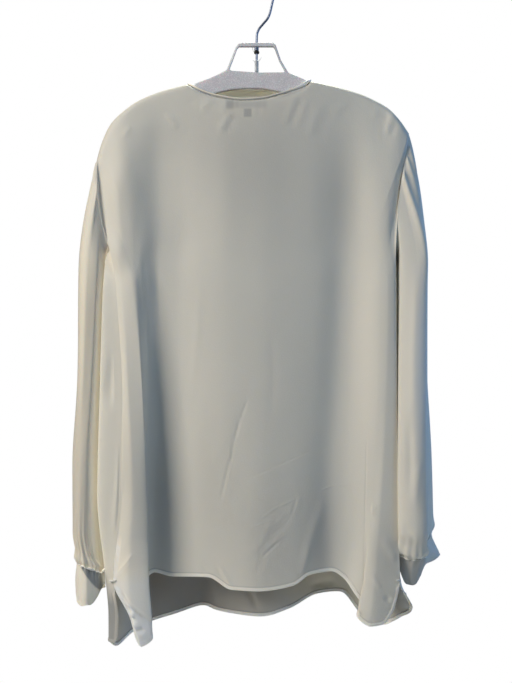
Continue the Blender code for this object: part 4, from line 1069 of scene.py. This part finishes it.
# On the left cuff's near face, painted shadow lies above a slanting line and painted light below it: x at
# the line's ends, then down. All of the right cuff's near face is painted shade.
CUFF_SHADOW_LINE = ((-261, -234), (883, 923))
for side in ("left", "right"):
    grid = cuff_grid(side, sleeves[side][-1] + np.array([0, 0, CUFF_GAP]))
    over_line = np.interp(grid[:, :, 0], *CUFF_SHADOW_LINE) + grid[:, :, 2]
    near_face = ramp(grid[:, :, 1], 8, -2)
    cuff_tone = (1.3 - 2.3 * ramp(over_line, -2, 2) if side == "left" else -0.6) * near_face
    put(f"cuff_silk_{side}", shell(grid, CUFF_WALL, side == "right", closed=True,
                                                       tone=cuff_tone), silk, [f"cuff_{side}"])


# ---- The neck binding: a narrow bias strip of the same silk, folded in four and rolled over the ----
# neck edge all the way round. A narrow roll stands along its top, and under that the cloth lies back
# in its own shadow to the row of stitches.

# Its section, going round: out from the neck edge in mm, up (to 0.5 in the lower part), and tone: painted
# shade along the lower part and painted light over the rest.
BINDING_SECTION = (
    (0.15, 0.00, -0.7), (0.30, 0.10, -0.9), (0.30, 0.30, -0.9), (0.40, 0.46, -0.5), (0.85, 0.56, 0.4),
    (1.10, 0.70, 0.6), (1.05, 0.84, 0.6), (0.70, 0.95, 0.6), (0.15, 1.00, 0.6), (-0.45, 0.98, 0.5),
    (-0.85, 0.88, 0.4), (-0.95, 0.70, 0.3), (-0.95, 0.45, 0.3), (-0.95, 0.20, 0.3), (-0.80, 0.05, 0.3),
    (-0.35, -0.02, 0.0))
BINDING_SHARE = 0.82      # its height over that of its frame solid
BINDING_LOWER = 1.6       # how high its lower part is
shares = np.linspace(0, 1, 121)
path = np.vstack([along(NECKLINE["back"], shares), along(NECKLINE["front"], shares)[-2:0:-1]])
height = path[:, 3:] * BINDING_SHARE
path = path[:, :3] * np.array([1, 1, -1])
ahead = unit(np.roll(path, -1, axis=0) - np.roll(path, 1, axis=0))
inward = unit(np.cross(np.array([0.0, 0.0, 1.0]), ahead))
out, up, tone = np.transpose(BINDING_SECTION)
rise = np.minimum(up, 0.5) * 2 * BINDING_LOWER + np.maximum(up - 0.5, 0) * 2 * (height - BINDING_LOWER)
strip = (path[:, None] + np.array([0, 0, 1.0]) * rise[:, :, None]
         + inward[:, None] * (0.5 - out)[None, :, None])
binding_mesh = grid_mesh(strip, closed_round=True, closed_along=True)
layer = binding_mesh.attributes.new("tone", "FLOAT", "POINT")
# Painted light on the binding towards the right end of the neck.
light_at_right_end = 1.3 * ramp(path[:, :1], 48, 64) * (tone > 0)
layer.data.foreach_set("value", (tone + light_at_right_end).ravel())
binding = put("neck_binding_silk", binding_mesh, silk, ["neck_binding"])


# ---- The label and size tab: blank woven tapes, sewn by their top edges inside the back of the neck. ----
# The label is sewn flat along its top, and the tab hangs folded below it, a little freer of the silk.

tape, tree, shader = finish("woven label tape", {"Specular IOR Level": 0.25})
ribs = tree.grain(2600.0, 1.0, (0.25, 1.0, 1.0))
feed(shader, ribs.blend((0.50, 0.48, 0.43, 1), (0.66, 0.64, 0.58, 1)), 0.60 + ribs * 0.2,
     tree.bump(ribs, 0.00012, 0.5))
LABEL_INSIDE = 1.5        # from the back's middle surface to the tapes
TAPE_WALL = 0.5
# Piece, node, its left, right, top and bottom below the neck edge, and how far its bottom curls free.
TAPES = (("neck_label_tape", "neck_label", -46, 14, 1.5, 9.0, 0.6),
         ("size_tab_tape", "size_tab", -19, -8.5, 10.0, 20.5, 1.2))


def tape_grid(left, right, upper, lower, curl):
    """Part of the back's own surface, moved inwards, and hanging freer of it by curl towards its bottom."""
    x = np.linspace(left, right, 25)
    down = np.linspace(upper, lower, 13)
    near_neck = (back_numbers >= 8) & (back_numbers <= 11)
    at = np.interp(x, back_grid[0, near_neck, 0], np.arange(near_neck.sum()))
    columns = back_grid[:, near_neck]
    low, share = np.floor(at).astype(int), (at % 1)[None, :, None]
    high = np.minimum(low + 1, near_neck.sum() - 1)
    between = columns[:, low] * (1 - share) + columns[:, high] * share
    top = between[0, :, 2]
    depth = np.stack([np.interp(down, top[k] - between[:, k, 2], between[:, k, 1])
                      for k in range(len(x))], axis=1)
    drop = down[:, None]
    free = LABEL_INSIDE + curl * ramp(drop, upper, lower) ** 1.5
    return np.stack([x[None, :] + 0 * drop, depth + free, top[None, :] - drop], axis=2)


for name, node, left, right, upper, lower, curl in TAPES:
    mesh = shell(tape_grid(left, right, upper, lower, curl), TAPE_WALL, False)
    made = put(name, mesh, tape, [node])


# ---- The stitching: white silk thread. A bar tack closes each side seam over its vent, the gathers are
# held to the cuffs by a raised row, and a line of small stitches runs along the vents and hem.

thread, tree, shader = finish("white silk thread", {"Specular IOR Level": 0.4, "Sheen Weight": 0.2})
twist = tree.grain(2200.0, 1.0, (1.0, 1.0, 2.5))
feed(shader, twist.blend((0.78, 0.765, 0.72, 1), (0.90, 0.885, 0.84, 1)), 0.45 + twist * 0.2)
STITCH_PITCH = 2.6
STITCH_SHARE = 0.72       # how much of the pitch a stitch takes
STITCH_RADIUS = 0.17
STITCH_RINGS = (0.12, 0.85, 1.0, 0.85, 0.12)      # the radii of its rings, over its own
STITCH_SIDES = 6


def stitch_row(line):
    """Small round-ended stitches along a line of points: their points and faces, as whole arrays.

    Each is a tube of rings from one place on the line to another, STITCH_SHARE of a pitch further on,
    and its rings' radii are those of a rounded bar.
    """
    steps = np.linalg.norm(np.diff(line, axis=0), axis=1)
    run = np.concatenate([[0], np.cumsum(steps)])
    count, length = int(run[-1] / STITCH_PITCH), len(STITCH_RINGS)
    starts = (np.arange(count) + 0.5 * (1 - STITCH_SHARE)) * run[-1] / count
    at = starts[:, None] + np.linspace(0, 1, length)[None, :] * STITCH_PITCH * STITCH_SHARE
    centre = np.stack([np.interp(at, run, line[:, k]) for k in range(3)], axis=2)
    ahead = unit(centre[:, -1] - centre[:, 0])
    side = unit(np.cross(ahead, np.array([0.02, 1.0, 0.03])))
    over = np.cross(side, ahead)
    points = rings(centre, side[:, None], over[:, None], STITCH_RADIUS * np.array(STITCH_RINGS),
                   STITCH_SIDES)
    number = np.arange(count * length * STITCH_SIDES).reshape(count, length, STITCH_SIDES)
    round_it = np.concatenate([number, number[:, :, :1]], axis=2)
    quads = np.stack([round_it[:, :-1, :-1], round_it[:, 1:, :-1], round_it[:, 1:, 1:],
                      round_it[:, :-1, 1:]], axis=3).reshape(-1, 4)
    ends = np.vstack([number[:, 0, ::-1], number[:, -1]])
    return points.reshape(-1, 3), quads.tolist() + ends.tolist()


def hem_stitches(name, outer, normal):
    """A panel's stitches: one row down each vent and along the hem, HEM_WIDTH less 1 mm over the hem.

    Its two vent columns are those as far in from the sides at the panel's top. Down by the vents, that
    is 8 to 13 mm in on the back, and the edge itself on the front.
    """
    inset = HEM_WIDTH - 1.0
    place = np.argmin(np.abs(HEM_ROWS - inset))
    row = outer.shape[0] - len(HEM_ROWS) + place
    high = outer[place]
    from_left = np.linalg.norm(high - high[0], axis=1)[:40]
    from_right = np.linalg.norm(high - high[-1], axis=1)[::-1][:40]
    left = np.argmin(np.abs(from_left - inset))
    right = outer.shape[1] - 1 - np.argmin(np.abs(from_right - inset))
    vent = np.flatnonzero(-outer[:row + 1, 0, 2] > VENT_TOP + 3)
    lifted = outer + 0.05 * normal
    line = np.vstack([lifted[vent, left], lifted[row, left:right + 1], lifted[vent, right][::-1]])
    return put(name, mesh_of(*stitch_row(line)), thread)


back_stitches = hem_stitches("back_hem_stitches", back_outer, back_normal)
front_stitches = hem_stitches("front_hem_stitches", front_outer, front_normal)

# The bar tacks: a short bar of thread wound over the seam's end, its turns standing out as rings.
# Both ends of each: x, y, down.
BAR_TACKS = {"left": ((-218.5, -28.0, 906.0), (-207.0, -32.6, 903.5)),
             "right": ((211.6, -27.6, 904.5), (206.2, -31.6, 904.0))}
BAR_TURNS = 9
for side, ends in BAR_TACKS.items():
    share = np.linspace(0, 1, 61)
    path = (np.outer(1 - share, ends[0]) + np.outer(share, ends[1])) * np.array([1, 1, -1])
    wound = 1.65 + 0.28 * np.abs(np.sin(share * math.pi * BAR_TURNS)) + 0.25 * np.sin(share * 5)
    wound = wound * np.sqrt(np.clip(1 - (2 * share - 1) ** 8, 0.001, 1))
    put(f"bar_tack_{side}", grid_mesh(tube(path, wound, 14), closed_round=True),
                     thread)

# The raised row at each cuff, in beads where the needle has pulled the thread up between gathers.
ROW_THREAD = 0.35
BEAD_HEIGHT = {"left": 1.7, "right": 1.2}
BEAD_STEP = 4             # columns of the sleeve to a bead
for side, seed in (("left", 5), ("right", 6)):
    draw = np.random.default_rng(seed)
    ring = sleeves[side][-1]
    away = unit((ring - ring.mean(axis=0)) * np.array([1, 1, 0]))
    column, knot = np.arange(ROUND_COUNT), np.arange(0, ROUND_COUNT + BEAD_STEP, BEAD_STEP)
    beads = np.clip(np.interp(column, knot, draw.uniform(-0.5, 1.0, len(knot))), 0, 1)
    rise = np.interp(column, knot, draw.uniform(-0.9, 0.9, len(knot)))
    path = ring + away * 2.2 + np.array([0, 0, 1.0]) * rise[:, None]
    ahead = unit(np.roll(path, -1, axis=0) - np.roll(path, 1, axis=0))
    across = unit(np.cross(ahead, np.array([0.0, 0.0, 1.0])))
    row_points = rings(path, across, np.cross(across, ahead), ROW_THREAD + BEAD_HEIGHT[side] * beads, 8)
    put(f"cuff_row_{side}", grid_mesh(row_points, closed_round=True, closed_along=True),
                          thread)


# ---- The floor, the light and the camera: a pale disc below the hem, a warm window on the left, ----
# cool sky from the right and a lamp behind the shoulders. The camera sees the room as plain white.

floor_finish, tree, shader = finish("pale floor", {"Roughness": 0.8})
feed(shader, tree.grain(6.0, 3.0).blend((0.86, 0.86, 0.86, 1), (0.90, 0.90, 0.89, 1)))
FLOOR_DROP = 1.30
FLOOR_RADIUS = 0.72
turn = np.arange(96) / 96 * 2 * math.pi
disc = bpy.data.meshes.new("floor")
disc.from_pydata([(FLOOR_RADIUS * math.cos(a), FLOOR_RADIUS * math.sin(a), -FLOOR_DROP) for a in turn], [],
                 [tuple(range(96))])
disc.materials.append(floor_finish)
floor = bpy.data.objects.new("floor", disc)
bpy.context.scene.collection.objects.link(floor)


def soft_light(name, place, aim, size, power, colour):
    """A square lamp at place, turned to aim."""
    lamp = bpy.data.lights.new(name, "AREA")
    lamp.size = size
    lamp.energy = power
    lamp.color = colour
    made = bpy.data.objects.new(name, lamp)
    made.location = place
    along_beam = np.array(aim, dtype=float) - np.array(place, dtype=float)
    made.rotation_euler = Vector(along_beam).to_track_quat("-Z", "Y").to_euler()
    bpy.context.scene.collection.objects.link(made)


soft_light("window_left", (-2.2, -1.45, 0.65), (0.0, 0.0, -0.55), 1.25, 65.0, (1.0, 0.945, 0.86))
soft_light("sky_front", (1.7, -1.5, 0.7), (0.0, 0.0, -0.5), 1.2, 14.4, (0.505, 0.72, 1.0))
soft_light("sky_side", (1.5, 0.5, -0.3), (0.0, 0.0, -0.6), 0.9, 7.0, (0.25, 0.52, 1.0))
soft_light("behind", (0.1, 1.0, 1.0), (0.0, 0.0, -0.18), 0.5, 30.0, (0.98, 1.0, 0.84))

world = bpy.data.worlds.new("pale room")
bpy.context.scene.world = world
world.use_nodes = True
nodes, links = world.node_tree.nodes, world.node_tree.links
room = nodes["Background"]
room.inputs["Color"].default_value = (0.45, 0.70, 1.0, 1)
room.inputs["Strength"].default_value = 0.03
backdrop = nodes.new("ShaderNodeBackground")
backdrop.inputs["Color"].default_value = (1, 1, 1, 1)
backdrop.inputs["Strength"].default_value = 1.0
seen = nodes.new("ShaderNodeLightPath")
either = nodes.new("ShaderNodeMixShader")
links.new(seen.outputs["Is Camera Ray"], either.inputs[0])
links.new(room.outputs[0], either.inputs[1])
links.new(backdrop.outputs[0], either.inputs[2])
links.new(either.outputs[0], nodes["World Output"].inputs["Surface"])
bpy.context.scene.view_settings.view_transform = "Standard"

lens = bpy.data.cameras.new("camera")
lens.sensor_width = 36.0
lens.lens = 63.25
camera = bpy.data.objects.new("camera", lens)
camera.location = (-0.001, -1.8, -0.55175)
camera.rotation_euler = (math.pi / 2, 0.0, 0.0)
bpy.context.scene.collection.objects.link(camera)
bpy.context.scene.camera = camera
